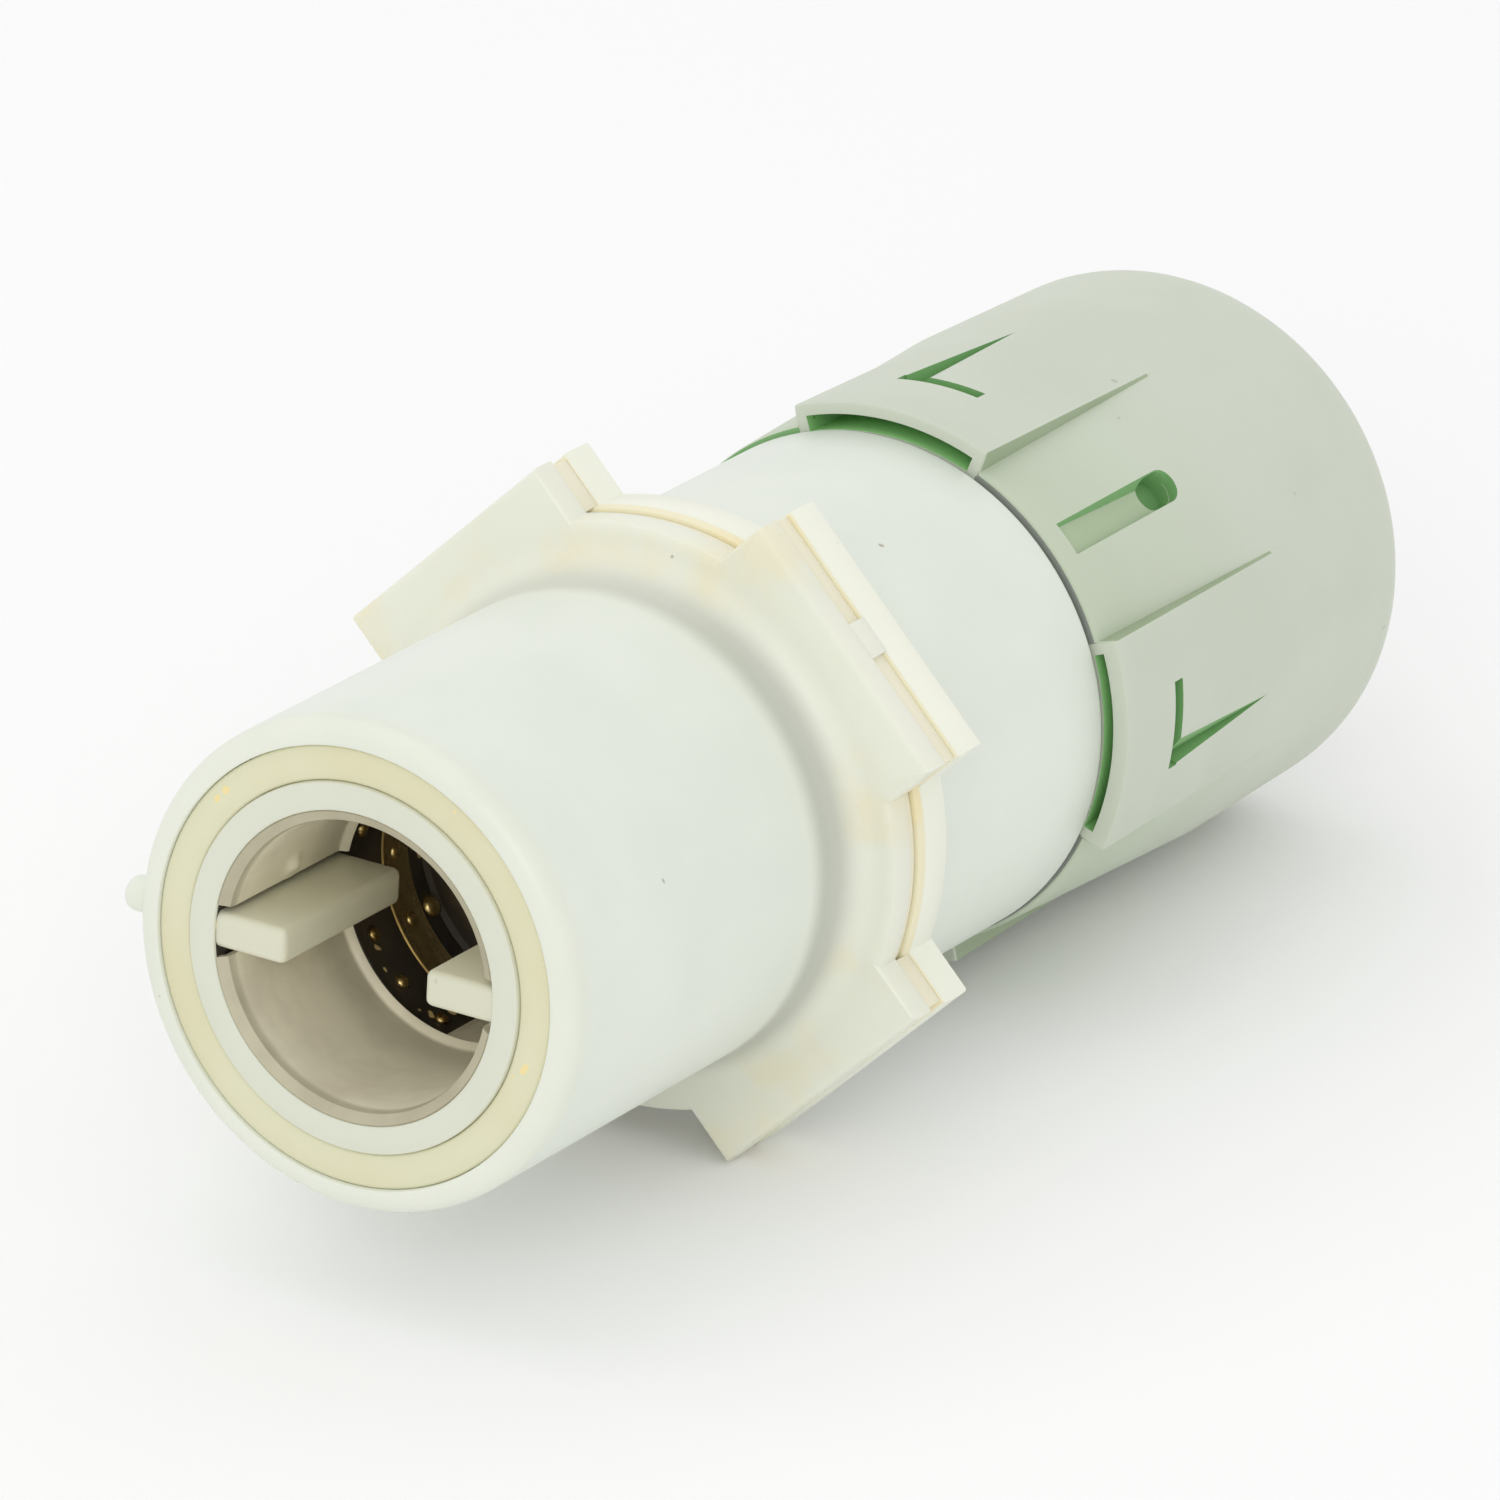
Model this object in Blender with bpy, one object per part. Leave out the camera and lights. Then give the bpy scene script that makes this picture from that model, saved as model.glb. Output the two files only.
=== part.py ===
"""Plug-in signal lampholder: barrel, tabbed flange, two-shell socket, sprung pin, twist cap.

Metres, +Z up. The axis is Y: the open mouth faces -Y, the cap is at +Y. The origin is on the
axis, in the plane of the flange's front face, where the holder seats in its panel.
"""
import math

import bmesh
import bpy
from mathutils import Vector

MM = 0.001

# driving sizes, in millimetres
BARREL_R = 16.0          # front barrel, outside
RIM_WALL = 1.7           # front barrel wall at the mouth
RIM_ROUND = 1.3          # rounding of the front rim
FRONT_LEN = 32.3         # flange front face to front rim
GROOVE_W = 2.3           # annular groove behind the rim, across
LINER_WALL = 1.87        # inner tube's wall, outside the lamp bore
LINER_LEN = 14.2         # inner tube, from the rim
LINER_SEAT = 1.9         # inner tube's seat behind the groove
LINER_ROUND = 0.35       # inner tube's front edges
RIB_LEN = 5.03           # rib, from the bore inward
RIB_T = 2.4              # rib thickness
RIB_SUNK = 0.1           # rib's front, behind the rim
RIB_SHORT = 0.6          # rib's end, before the inner tube's end
SHELL_T = 0.5            # contact shell sheet
SHELL_LEN = 12.6         # contact shell, along the axis
SHELL_EDGE = 0.6         # shell's front edge, behind the rim
SHELL_HALF_DEG = 80.0    # half of each shell's arc
TAIL_HALF_DEG = 11.0     # half of each tail's arc
TAIL_ROOT = 1.0          # tail's overlap with its shell
DISC_STEP = 3.5          # round part of the flange, beyond the barrel
TAB_REACH = 1.6          # tab's straight edge, beyond the round part
TAB_HALF = 9.3           # half of a tab's width
TAB_AT = 45.0            # first tab, degrees from +X
FRONT_PLATE_T = 2.1      # flange, front plate
PLATE_GAP = 0.8          # line between the round plates
SLIT_W = 1.5             # slit in each tab's edge
REAR_PLATE_T = 3.7       # flange, rear plate
COVE_R = 2.6             # soft cove between barrel and flange
KEY_W = 2.6              # bridge in the slit, along the tab's edge
KEY_DEPTH = 2.9          # bridge in the slit, inward
KEY_SUNK = 0.05          # bridge's face, inside the tab's edge
NUB_R = 1.15             # side nub
NUB_OUT = 1.9            # side nub, beyond the barrel
NUB_BACK = 2.4           # side nub, behind the rim
SPIGOT_WALL = 1.6        # front moulding's spigot, inside the rear barrel
SPIGOT_LEN = 10.0
MID_WALL = 2.8           # rear barrel's wall round the spigot
MID_END = 29.7           # rear barrel's end at the cap's rim
NECK_STEP = 2.7          # rear barrel's neck, inside the cap
NECK_WALL = 1.7
NECK_END = 50.0
LUG_H = 1.0              # neck's bayonet lugs
LUG_AT = 35.0
LUG_LEN = 2.2
LUG_HALF_DEG = 14.0
SKIRT_WALL = 1.7         # cap's wall at the front of its flutes
FLUTE_DEPTH = 1.4        # raised pads over the flutes
FLUTE_END = 51.7         # where the flutes have run out
PAD_HALF_DEG = 22.5
CAP_END = 70.1           # cap's rear face
CAP_ROUND = 4.5          # rounding of the cap's rear edge
CAP_WALL = 3.2           # cap's rear wall
HOLLOW_T = 1.05          # open hollow at the front of each pad
HOLLOW_BELOW = 0.45      # hollow's inner face, below the flutes
HOLLOW_DEPTH = 6.0
HOLLOW_END_DEG = 2.5     # pad's wall at each end of the hollow
SLOT_W = 2.4             # slot in two facing flutes, with a latch hole at its end
SLOT_FRONT = 31.9
SLOT_END = 45.3
SLOT_BELOW = 0.25        # slot's floor, below the flute's front
LATCH_WALL = 0.5         # wall left under the latch hole
LATCH_EDGE = 0.1         # slot's floor round the latch hole
MARK_FRONT = 37.0        # L mark in each pad: a straight stroke and a wedge arm
MARK_END = 48.5
MARK_W = 0.85
MARK_DEPTH = 0.6
MARK_NEAR_DEG = 10.0
MARK_TIP_DEG = 6.0
MARK_FAR_DEG = 8.5
ARM_DEG = 6.0            # wedge arm's width at its foot
ARM_INSET_DEG = 0.3      # wedge arm's foot, inside the stroke's end
ARM_DEPTH = 1.1
BASE_T = 5.0             # dark contact base: floor of the cup behind the inner tube
PIN_R = 2.6              # plunger head
PIN_STEM_R = 1.3
PIN_REACH = 8.6          # plunger's tip, in front of the cup's floor
PIN_NOSE = 1.1           # rounding of the tip
PIN_HEAD_LEN = 2.6
PIN_TAIL = 0.6           # stem beyond the base
PIN_ROOM = 1.0           # carrier's hole round the stem
PIN_STROKE = 3.0
BUSH_WALL = 0.9
BUSH_FLANGE_R = 3.9
BUSH_FLANGE_T = 1.0
SPRING_WIRE_R = 0.28
SPRING_TURNS = 3.0
SPRING_PLAY = 0.15
CARRIER_STEP = 3.8       # terminal carrier, behind the base
CARRIER_T = 13.0
CARRIER_OUT = 1.1        # carrier's end, beyond the spigot's end
CARRIER_WEB = 1.43       # carrier's wall between the stem's hole and a terminal
TERMINAL_W = 6.0
TERMINAL_LEN = 10.0
TERMINAL_SUNK = 0.4      # terminal's end, inside the carrier's
TAIL_SHORT = 3.0         # shell tail's end, inside the carrier's
WIRE_HOLE_R = 1.5
WIRE_HOLE_DEPTH = 7.6
RING_T = 1.2             # retaining ring
RING_W = 3.0
GASKET_INSET = 0.7       # gasket's inner edge, outside the spigot's hole
GASKET_EDGE = 1.9        # gasket's outer edge, inside the round plates' edge
GASKET_T = 1.6
MOUTH_SEAL_BACK = 0.25   # mouth ring, behind the rim
MOUTH_SEAL_CROWN = 0.3
MOUTH_SEAL_LEN = 4.0
CAP_SEAL_R = 0.9         # O-ring section
CAP_SEAL_AT = 43.0
SEAL_PLAY = 0.1
CABLE_R = 4.0            # cable entry
GROMMET_WALL = 2.2
GROMMET_LIP = 1.5
GROMMET_LIP_T = 1.4
GROMMET_OUT = 1.6        # grommet's tip, beyond the cap
WASHER_T = 1.2
WASHER_PLAY = 1.0
CABLE_PLAY = 0.6         # washer and collet round the cable
COLLET_LEN = 9.0
COLLET_WALL = 2.0
COLLET_HEAD = 2.0
COLLET_PLAY = 1.0
COLLET_SLOT = 1.2
GAP = 0.3                # clearance between touching pieces
SEG = 48

for old in list(bpy.data.objects):
    bpy.data.objects.remove(old, do_unlink=True)


def material(name, color, metallic, roughness):
    mat = bpy.data.materials.new(name)
    mat.use_nodes = True
    shader = mat.node_tree.nodes["Principled BSDF"]
    shader.inputs["Base Color"].default_value = (*color, 1)
    shader.inputs["Metallic"].default_value = metallic
    shader.inputs["Roughness"].default_value = roughness
    return mat


def finish_mesh(name, bm, mat):
    bmesh.ops.remove_doubles(bm, verts=bm.verts, dist=1e-7)
    bmesh.ops.recalc_face_normals(bm, faces=bm.faces)
    mesh = bpy.data.meshes.new(name)
    bm.to_mesh(mesh)
    bm.free()
    obj = bpy.data.objects.new(name, mesh)
    bpy.context.scene.collection.objects.link(obj)
    if mat:
        mesh.materials.append(mat)
    return obj


def even_angles(count=SEG):
    return [360.0 * i / count for i in range(count)]


def spun(bm, stations, angles=None):
    """A closed ring round Y. Each station is (radius or function of the angle, y)."""
    angles = angles or even_angles()
    rings = []
    for radius, y in stations:
        ring = []
        for deg in angles:
            r = radius(deg) if callable(radius) else radius
            a = math.radians(deg)
            ring.append(bm.verts.new((r * math.cos(a) * MM, y * MM, r * math.sin(a) * MM)))
        rings.append(ring)
    count = len(angles)
    for k in range(len(rings)):
        a_ring, b_ring = rings[k], rings[(k + 1) % len(rings)]
        for i in range(count):
            j = (i + 1) % count
            bm.faces.new((a_ring[i], a_ring[j], b_ring[j], b_ring[i]))


def ring_part(name, stations, mat, angles=None):
    bm = bmesh.new()
    spun(bm, stations, angles)
    return finish_mesh(name, bm, mat)


def prism(bm, outline, low, high, place):
    """An outline of (u, v) points pushed from low to high; place turns (u, v, w) into mm."""
    bottom = [bm.verts.new(Vector(place(u, v, low)) * MM) for u, v in outline]
    top = [bm.verts.new(Vector(place(u, v, high)) * MM) for u, v in outline]
    bm.faces.new(bottom)
    bm.faces.new(top)
    for i in range(len(outline)):
        j = (i + 1) % len(outline)
        bm.faces.new((bottom[i], bottom[j], top[j], top[i]))


def turned(deg):
    """Places (outward, sideways, along) at an angle round the axis."""
    a = math.radians(deg)
    out = (math.cos(a), math.sin(a))
    side = (-math.sin(a), math.cos(a))
    return lambda u, v, w: (u * out[0] + v * side[0], w, u * out[1] + v * side[1])


def flat(u, v, w):
    return (u, w, v)


def box_outline(u0, u1, v0, v1):
    return [(u0, v0), (u1, v0), (u1, v1), (u0, v1)]


def arc_block(bm, r0, r1, y0, y1, mid_deg, half_deg, steps=8):
    """A block between two radii, two planes and two angles."""
    outline = []
    for i in range(steps + 1):
        a = math.radians(mid_deg - half_deg + 2 * half_deg * i / steps)
        outline.append((r1 * math.cos(a), r1 * math.sin(a)))
    for i in range(steps + 1):
        a = math.radians(mid_deg + half_deg - 2 * half_deg * i / steps)
        outline.append((r0 * math.cos(a), r0 * math.sin(a)))
    prism(bm, outline, y0, y1, flat)


def rod(bm, centre, axis, radius, length, count=24):
    z = Vector(axis).normalized()
    x = z.orthogonal().normalized()
    y = z.cross(x)
    base = Vector(centre)
    lower, upper = [], []
    for i in range(count):
        a = 2 * math.pi * i / count
        edge = x * math.cos(a) * radius + y * math.sin(a) * radius
        lower.append(bm.verts.new((base + edge) * MM))
        upper.append(bm.verts.new((base + edge + z * length) * MM))
    bm.faces.new(lower)
    bm.faces.new(upper)
    for i in range(count):
        j = (i + 1) % count
        bm.faces.new((lower[i], lower[j], upper[j], upper[i]))


def combine(obj, bm, name, operation):
    other = finish_mesh(name, bm, None)
    other.hide_render = True
    other.display_type = "WIRE"
    mod = obj.modifiers.new(name, "BOOLEAN")
    mod.operation = operation
    mod.solver = "EXACT"
    mod.object = other


def rounded(r, y, radius, start_deg, end_deg, steps=5):
    """Points of an arc round (r, y)."""
    points = []
    for i in range(steps + 1):
        a = math.radians(start_deg + (end_deg - start_deg) * i / steps)
        points.append((r + radius * math.cos(a), y + radius * math.sin(a)))
    return points


white = material("white_plastic", (0.80, 0.83, 0.78), 0, 0.4)
grey = material("cap_plastic", (0.58, 0.62, 0.52), 0, 0.45)
cream = material("cream_silicone", (0.72, 0.68, 0.45), 0, 0.6)
black = material("black_rubber", (0.03, 0.03, 0.03), 0, 0.7)
phenolic = material("dark_phenolic", (0.05, 0.04, 0.03), 0, 0.5)
tinned = material("tinned_sheet", (0.55, 0.50, 0.43), 1, 0.35)
brass = material("brass", (0.70, 0.52, 0.22), 1, 0.3)
steel = material("spring_steel", (0.55, 0.55, 0.55), 1, 0.3)

# sizes that follow from others, from the mouth inward and from the axis outward
TABS = [TAB_AT + 90 * k for k in range(4)]
rim = -FRONT_LEN
rim_in = BARREL_R - RIM_WALL
liner_r = rim_in - GROOVE_W
bore_r = liner_r - LINER_WALL
liner_end = rim + LINER_LEN
groove_floor = liner_end - LINER_SEAT
liner_hole = liner_r + GAP
spigot_r = liner_hole + SPIGOT_WALL
spigot_end = FRONT_PLATE_T + SPIGOT_LEN
spigot_hole = spigot_r + GAP
disc_r = BARREL_R + DISC_STEP
disc_cove = BARREL_R + COVE_R
tab_d = disc_r + TAB_REACH
gasket_in = spigot_hole + GASKET_INSET
gasket_out = disc_r - GASKET_EDGE
rear_plate = FRONT_PLATE_T + PLATE_GAP
rear_face = rear_plate + REAR_PLATE_T
mid_r = spigot_hole + MID_WALL
neck_r = mid_r - NECK_STEP
neck_in = neck_r - NECK_WALL
lug_r = neck_r + LUG_H
skirt_in = lug_r + GAP
flute_r = skirt_in + SKIRT_WALL
pad_r = flute_r + FLUTE_DEPTH
cap_front = MID_END + GAP
inside_end = CAP_END - CAP_WALL
carrier_end = spigot_end + CARRIER_OUT
carrier_front = carrier_end - CARRIER_T
base_back = carrier_front - CARRIER_STEP
base_front = base_back - BASE_T
cup_front = liner_end + GAP
pin_tip = base_front - PIN_REACH


def tab_blocks(bm, low, high):
    for deg in TABS:
        prism(bm, box_outline(BARREL_R, tab_d, -TAB_HALF, TAB_HALF), low, high, turned(deg))


# front moulding: barrel, rim, cove, front flange plate and spigot
front_outer = rounded(BARREL_R - RIM_ROUND, rim + RIM_ROUND, RIM_ROUND, -90, 0)
front_outer += [(BARREL_R, (rim - COVE_R) / 2)]
front_outer += rounded(disc_cove, -COVE_R, COVE_R, 180, 90)
front_outer += [(disc_r, 0), (disc_r, FRONT_PLATE_T), (spigot_r, FRONT_PLATE_T)]
front_outer += [(spigot_r, spigot_end), (liner_hole, spigot_end)]
front_outer += [(liner_hole, groove_floor), (rim_in, groove_floor), (rim_in, rim)]
front = ring_part("front_housing", front_outer, white)
tabs = bmesh.new()
tab_blocks(tabs, 0, FRONT_PLATE_T)
combine(front, tabs, "front_tabs", "UNION")
nub = bmesh.new()
nub_root = rim_in + RIM_WALL / 4
rod(nub, (-nub_root, rim + NUB_BACK, 0), (-1, 0, 0), NUB_R, BARREL_R + NUB_OUT - nub_root, 16)
combine(front, nub, "nub_add", "UNION")

# rear moulding: rear flange plate, barrel and bayonet neck
REAR_ANGLES = []
for quarter in range(4):
    for step in (-LUG_HALF_DEG - 0.4, -LUG_HALF_DEG + 0.4, -7, 0, 7, LUG_HALF_DEG - 0.4,
                 LUG_HALF_DEG + 0.4, 22.5, 30, 37.5, 45, 52.5, 60, 67.5):
        REAR_ANGLES.append(90 * quarter + step)


def in_lug(deg):
    return abs((deg + 45) % 90 - 45) < LUG_HALF_DEG


def lug_out(deg):
    return lug_r if in_lug(deg) else neck_r


def lug_in(deg):
    return neck_r + GAP if in_lug(deg) else skirt_in


gasket_seat = rear_plate + GASKET_T + GAP - (PLATE_GAP - GAP)
ring_r = skirt_in - GAP - CAP_SEAL_R
seal_floor = ring_r - CAP_SEAL_R - SEAL_PLAY
seal_room = CAP_SEAL_R + GAP
rear_outer = [(gasket_out + GAP, rear_plate), (disc_r, rear_plate), (disc_r, rear_face)]
rear_outer += [(mid_r, rear_face), (mid_r, MID_END), (neck_r, MID_END)]
rear_outer += [(neck_r, LUG_AT), (lug_out, LUG_AT + 0.05), (lug_out, LUG_AT + LUG_LEN)]
rear_outer += [(neck_r, LUG_AT + LUG_LEN + 0.05)]
rear_outer += [(neck_r, CAP_SEAL_AT - seal_room), (seal_floor, CAP_SEAL_AT - seal_room)]
rear_outer += [(seal_floor, CAP_SEAL_AT + seal_room), (neck_r, CAP_SEAL_AT + seal_room)]
rear_outer += [(neck_r, NECK_END), (neck_in, NECK_END)]
rear_outer += [(neck_in, spigot_end + GAP), (spigot_hole, spigot_end + GAP)]
rear_outer += [(spigot_hole, rear_plate), (gasket_in - GAP, rear_plate), (gasket_in - GAP, gasket_seat)]
rear_outer += [(gasket_out + GAP, gasket_seat)]
rear = ring_part("rear_housing", rear_outer, white, REAR_ANGLES)
tabs = bmesh.new()
slit_back = FRONT_PLATE_T + SLIT_W
for deg in TABS:
    prism(tabs, box_outline((gasket_out + disc_r) / 2, tab_d, -TAB_HALF, TAB_HALF), slit_back, rear_face, turned(deg))
combine(rear, tabs, "rear_tabs", "UNION")
key_in = tab_d - KEY_DEPTH
pockets = bmesh.new()
for deg in TABS:
    prism(pockets, box_outline(key_in - GAP, tab_d + 1, -KEY_W / 2 - GAP, KEY_W / 2 + GAP),
          rear_plate - 1, slit_back, turned(deg))
combine(rear, pockets, "key_pockets", "DIFFERENCE")

# flange gasket between the plates, and the bridges in the slits of the tab edges
ring_part("flange_gasket", [(gasket_in, gasket_seat - GAP - GASKET_T), (gasket_out, gasket_seat - GAP - GASKET_T),
                            (gasket_out, gasket_seat - GAP), (gasket_in, gasket_seat - GAP)], cream)
for number, deg in enumerate(TABS, 1):
    key = bmesh.new()
    prism(key, box_outline(key_in, tab_d - KEY_SUNK, -KEY_W / 2, KEY_W / 2),
          FRONT_PLATE_T + GAP, slit_back - GAP, turned(deg))
    finish_mesh(f"flange_key_{number}", key, white)

# soft ring in the annular groove of the mouth
seal_in, seal_out = liner_r + GAP, rim_in - GAP
seal_front = rim + MOUTH_SEAL_BACK
seal_edge = seal_front + MOUTH_SEAL_CROWN
seal_mid = (seal_in + seal_out) / 2
ring_part("mouth_seal", [(seal_in, seal_edge), (seal_mid, seal_front), (seal_out, seal_edge),
                         (seal_out, seal_front + MOUTH_SEAL_LEN), (seal_in, seal_front + MOUTH_SEAL_LEN)], cream)

# inner tube with its two ribs
liner = ring_part("socket_liner", [(bore_r + LINER_ROUND, rim), (liner_r - LINER_ROUND, rim), (liner_r, rim + LINER_ROUND),
                                   (liner_r, liner_end), (bore_r, liner_end), (bore_r, rim + LINER_ROUND)], white)
ribs = bmesh.new()
for deg in (0, 180):
    prism(ribs, box_outline(bore_r - RIB_LEN, bore_r + LINER_WALL / 2, -RIB_T / 2, RIB_T / 2),
          rim + RIB_SUNK, liner_end - RIB_SHORT, turned(deg))
combine(liner, ribs, "rib_add", "UNION")

# two half-shell contacts, each with a tail that runs back to its terminal
shell_out = bore_r - GAP
shell_in = shell_out - SHELL_T
shell_back = rim + SHELL_EDGE + SHELL_LEN
tail_end = carrier_end - TAIL_SHORT
for name, deg in (("shell_upper", 90), ("shell_lower", -90)):
    shell = bmesh.new()
    arc_block(shell, shell_in, shell_out, rim + SHELL_EDGE, shell_back, deg, SHELL_HALF_DEG, 24)
    part = finish_mesh(name, shell, tinned)
    tail = bmesh.new()
    arc_block(tail, shell_in, shell_out, shell_back - TAIL_ROOT, tail_end, deg, TAIL_HALF_DEG, 4)
    combine(part, tail, name + "_tail", "UNION")

# dark contact base: a cup behind the inner tube, with a centre hole and a slot for each tail
bush_out = PIN_STEM_R + GAP + BUSH_WALL
base = ring_part("contact_base", [(bush_out + GAP, base_front), (bore_r, base_front), (bore_r, cup_front),
                                  (liner_r, cup_front), (liner_r, base_back), (bush_out + GAP, base_back)], phenolic)
slots = bmesh.new()
for deg in (90, -90):
    arc_block(slots, shell_in - GAP, shell_out + GAP, base_front - 1, base_back + 1, deg, TAIL_HALF_DEG + 2, 4)
combine(base, slots, "tail_slots", "DIFFERENCE")

# sprung centre pin with its bush and its spring
bush_back = base_front - GAP
bush_front = bush_back - BUSH_FLANGE_T
bush_bore = PIN_STEM_R + GAP
ring_part("plunger_bush", [(bush_bore, bush_front), (BUSH_FLANGE_R, bush_front), (BUSH_FLANGE_R, bush_back),
                           (bush_out, bush_back), (bush_out, base_back), (bush_bore, base_back)],
          brass, even_angles(32))
plunger = bmesh.new()
head_back = pin_tip + PIN_HEAD_LEN
stem_end = base_back + PIN_TAIL
pin_profile = rounded(PIN_R - PIN_NOSE, pin_tip + PIN_NOSE, PIN_NOSE, -90, 0, 3)
pin_profile += [(PIN_R, head_back), (PIN_STEM_R, head_back), (PIN_STEM_R, stem_end)]
pin_rings = []
for r, y in pin_profile:
    ring = []
    for deg in even_angles(32):
        a = math.radians(deg)
        ring.append(plunger.verts.new((r * math.cos(a) * MM, y * MM, r * math.sin(a) * MM)))
    pin_rings.append(ring)
for k in range(len(pin_rings) - 1):
    for i in range(32):
        j = (i + 1) % 32
        plunger.faces.new((pin_rings[k][i], pin_rings[k][j], pin_rings[k + 1][j], pin_rings[k + 1][i]))
plunger.faces.new(pin_rings[0])
plunger.faces.new(pin_rings[-1])
finish_mesh("plunger", plunger, brass)

spring_r = PIN_STEM_R + GAP + SPRING_WIRE_R + SPRING_PLAY
spring_lo = head_back + SPRING_WIRE_R + GAP
spring_hi = bush_front - SPRING_WIRE_R - GAP
spring_points = []
per_turn = 10
lead = 2 * SPRING_WIRE_R
count = int(SPRING_TURNS * per_turn)
for i in range(count + 1):
    a = 2 * math.pi * i / per_turn
    y = spring_lo + (spring_hi - spring_lo) * i / count
    spring_points.append(Vector((spring_r * math.cos(a), y, spring_r * math.sin(a))))
first = (spring_points[0] - spring_points[1]).normalized()
last = (spring_points[-1] - spring_points[-2]).normalized()
first.y = 0
last.y = 0
spring_points.insert(0, spring_points[0] + first.normalized() * lead)
spring_points.append(spring_points[-1] + last.normalized() * lead)
least = 1e9
for i, p in enumerate(spring_points):
    for j in range(i + per_turn // 2, len(spring_points)):
        least = min(least, (p - spring_points[j]).length - 2 * SPRING_WIRE_R)
print(f"plunger_spring least gap between curls {least:.2f} mm")
wire = bpy.data.curves.new("plunger_spring_curve", "CURVE")
wire.dimensions = "3D"
wire.bevel_depth = SPRING_WIRE_R * MM
wire.bevel_resolution = 1
wire.use_fill_caps = True
path = wire.splines.new("POLY")
path.points.add(len(spring_points) - 1)
for point, place in zip(path.points, spring_points):
    point.co = (*(place * MM), 1)
wire_obj = bpy.data.objects.new("plunger_spring_wire", wire)
bpy.context.scene.collection.objects.link(wire_obj)
graph = bpy.context.evaluated_depsgraph_get()
spring_mesh = bpy.data.meshes.new_from_object(wire_obj.evaluated_get(graph))
bpy.data.objects.remove(wire_obj, do_unlink=True)
spring_bm = bmesh.new()
spring_bm.from_mesh(spring_mesh)
finish_mesh("plunger_spring", spring_bm, steel)

# terminal carrier with two brass blocks, held by a ring in the rear barrel
carrier_r = liner_hole - GAP
pin_room = PIN_STEM_R + PIN_ROOM
carrier = ring_part("terminal_carrier", [(pin_room, carrier_front), (carrier_r, carrier_front),
                                         (carrier_r, carrier_end), (pin_room, carrier_end)], phenolic)
rooms = bmesh.new()
term_out = shell_in - GAP
room_in = pin_room + CARRIER_WEB
term_in = room_in + GAP
term_end = carrier_end - TERMINAL_SUNK
term_front = term_end - TERMINAL_LEN
for deg in (90, -90):
    prism(rooms, box_outline(room_in, carrier_r + 2, -TERMINAL_W / 2 - GAP, TERMINAL_W / 2 + GAP),
          carrier_front - 1, carrier_end + 1, turned(deg))
combine(carrier, rooms, "terminal_rooms", "DIFFERENCE")
for name, deg in (("terminal_upper", 90), ("terminal_lower", -90)):
    block = bmesh.new()
    prism(block, box_outline(term_in, term_out, -TERMINAL_W / 2, TERMINAL_W / 2),
          term_front, term_end, turned(deg))
    part = finish_mesh(name, block, brass)
    hole = bmesh.new()
    spot = turned(deg)((term_in + term_out) / 2, 0, term_end - WIRE_HOLE_DEPTH)
    rod(hole, spot, (0, 1, 0), WIRE_HOLE_R, WIRE_HOLE_DEPTH + 1, 20)
    combine(part, hole, name + "_hole", "DIFFERENCE")
ring_back = carrier_end + GAP
ring_out = neck_in - GAP
ring_part("retaining_ring", [(ring_out - RING_W, ring_back), (ring_out, ring_back), (ring_out, ring_back + RING_T),
                             (ring_out - RING_W, ring_back + RING_T)], steel)

# fluted end cap: four raised pads with L marks, and four flutes that run out, with latch slots
CAP_ANGLES = []
for quarter in range(4):
    for step in (-PAD_HALF_DEG - 0.5, -PAD_HALF_DEG + 0.5, -18, -LUG_HALF_DEG - 0.5, -LUG_HALF_DEG + 0.5, -9.3, -4.6,
                 0, 4.6, 9.3, LUG_HALF_DEG - 0.5, LUG_HALF_DEG + 0.5, 18, PAD_HALF_DEG - 0.5, PAD_HALF_DEG + 0.5,
                 29, 35, 41, 45, 49, 55, 61):
        CAP_ANGLES.append(90 * quarter + step)


def cap_out(y):
    share = min(1.0, max(0.0, (y - cap_front) / (FLUTE_END - cap_front)))
    flute = flute_r + FLUTE_DEPTH * share

    def radius(deg):
        return pad_r if abs((deg + 45) % 90 - 45) < PAD_HALF_DEG else flute
    return radius


catch_end = LUG_AT - GAP
catch_front = catch_end - LUG_LEN
entry_r = CABLE_R + GROMMET_WALL + GAP
cap_profile = [(skirt_in, cap_front), (cap_out(cap_front), cap_front)]
for step in range(1, 5):
    y = cap_front + (FLUTE_END - cap_front) * step / 4
    cap_profile.append((cap_out(y), y))
cap_profile += rounded(pad_r - CAP_ROUND, CAP_END - CAP_ROUND, CAP_ROUND, 0, 90, 6)
cap_profile += [(entry_r, CAP_END), (entry_r, inside_end), (skirt_in, inside_end)]
cap_profile += [(skirt_in, catch_end), (lug_in, catch_end - 0.05), (lug_in, catch_front)]
cap_profile += [(skirt_in, catch_front - 0.05)]
cap = ring_part("end_cap", cap_profile, grey, CAP_ANGLES)


def slot_outline(front, end):
    half = SLOT_W / 2
    points = [(front, -half), (end - half, -half)]
    for i in range(1, 6):
        a = math.radians(-90 + 180 * i / 6)
        points.append((end - half + half * math.cos(a), half * math.sin(a)))
    return points + [(end - half, half), (front, half)]


def flute_place(deg):
    spot = turned(deg)
    return lambda along, side, out: spot(out, side, along)


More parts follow.
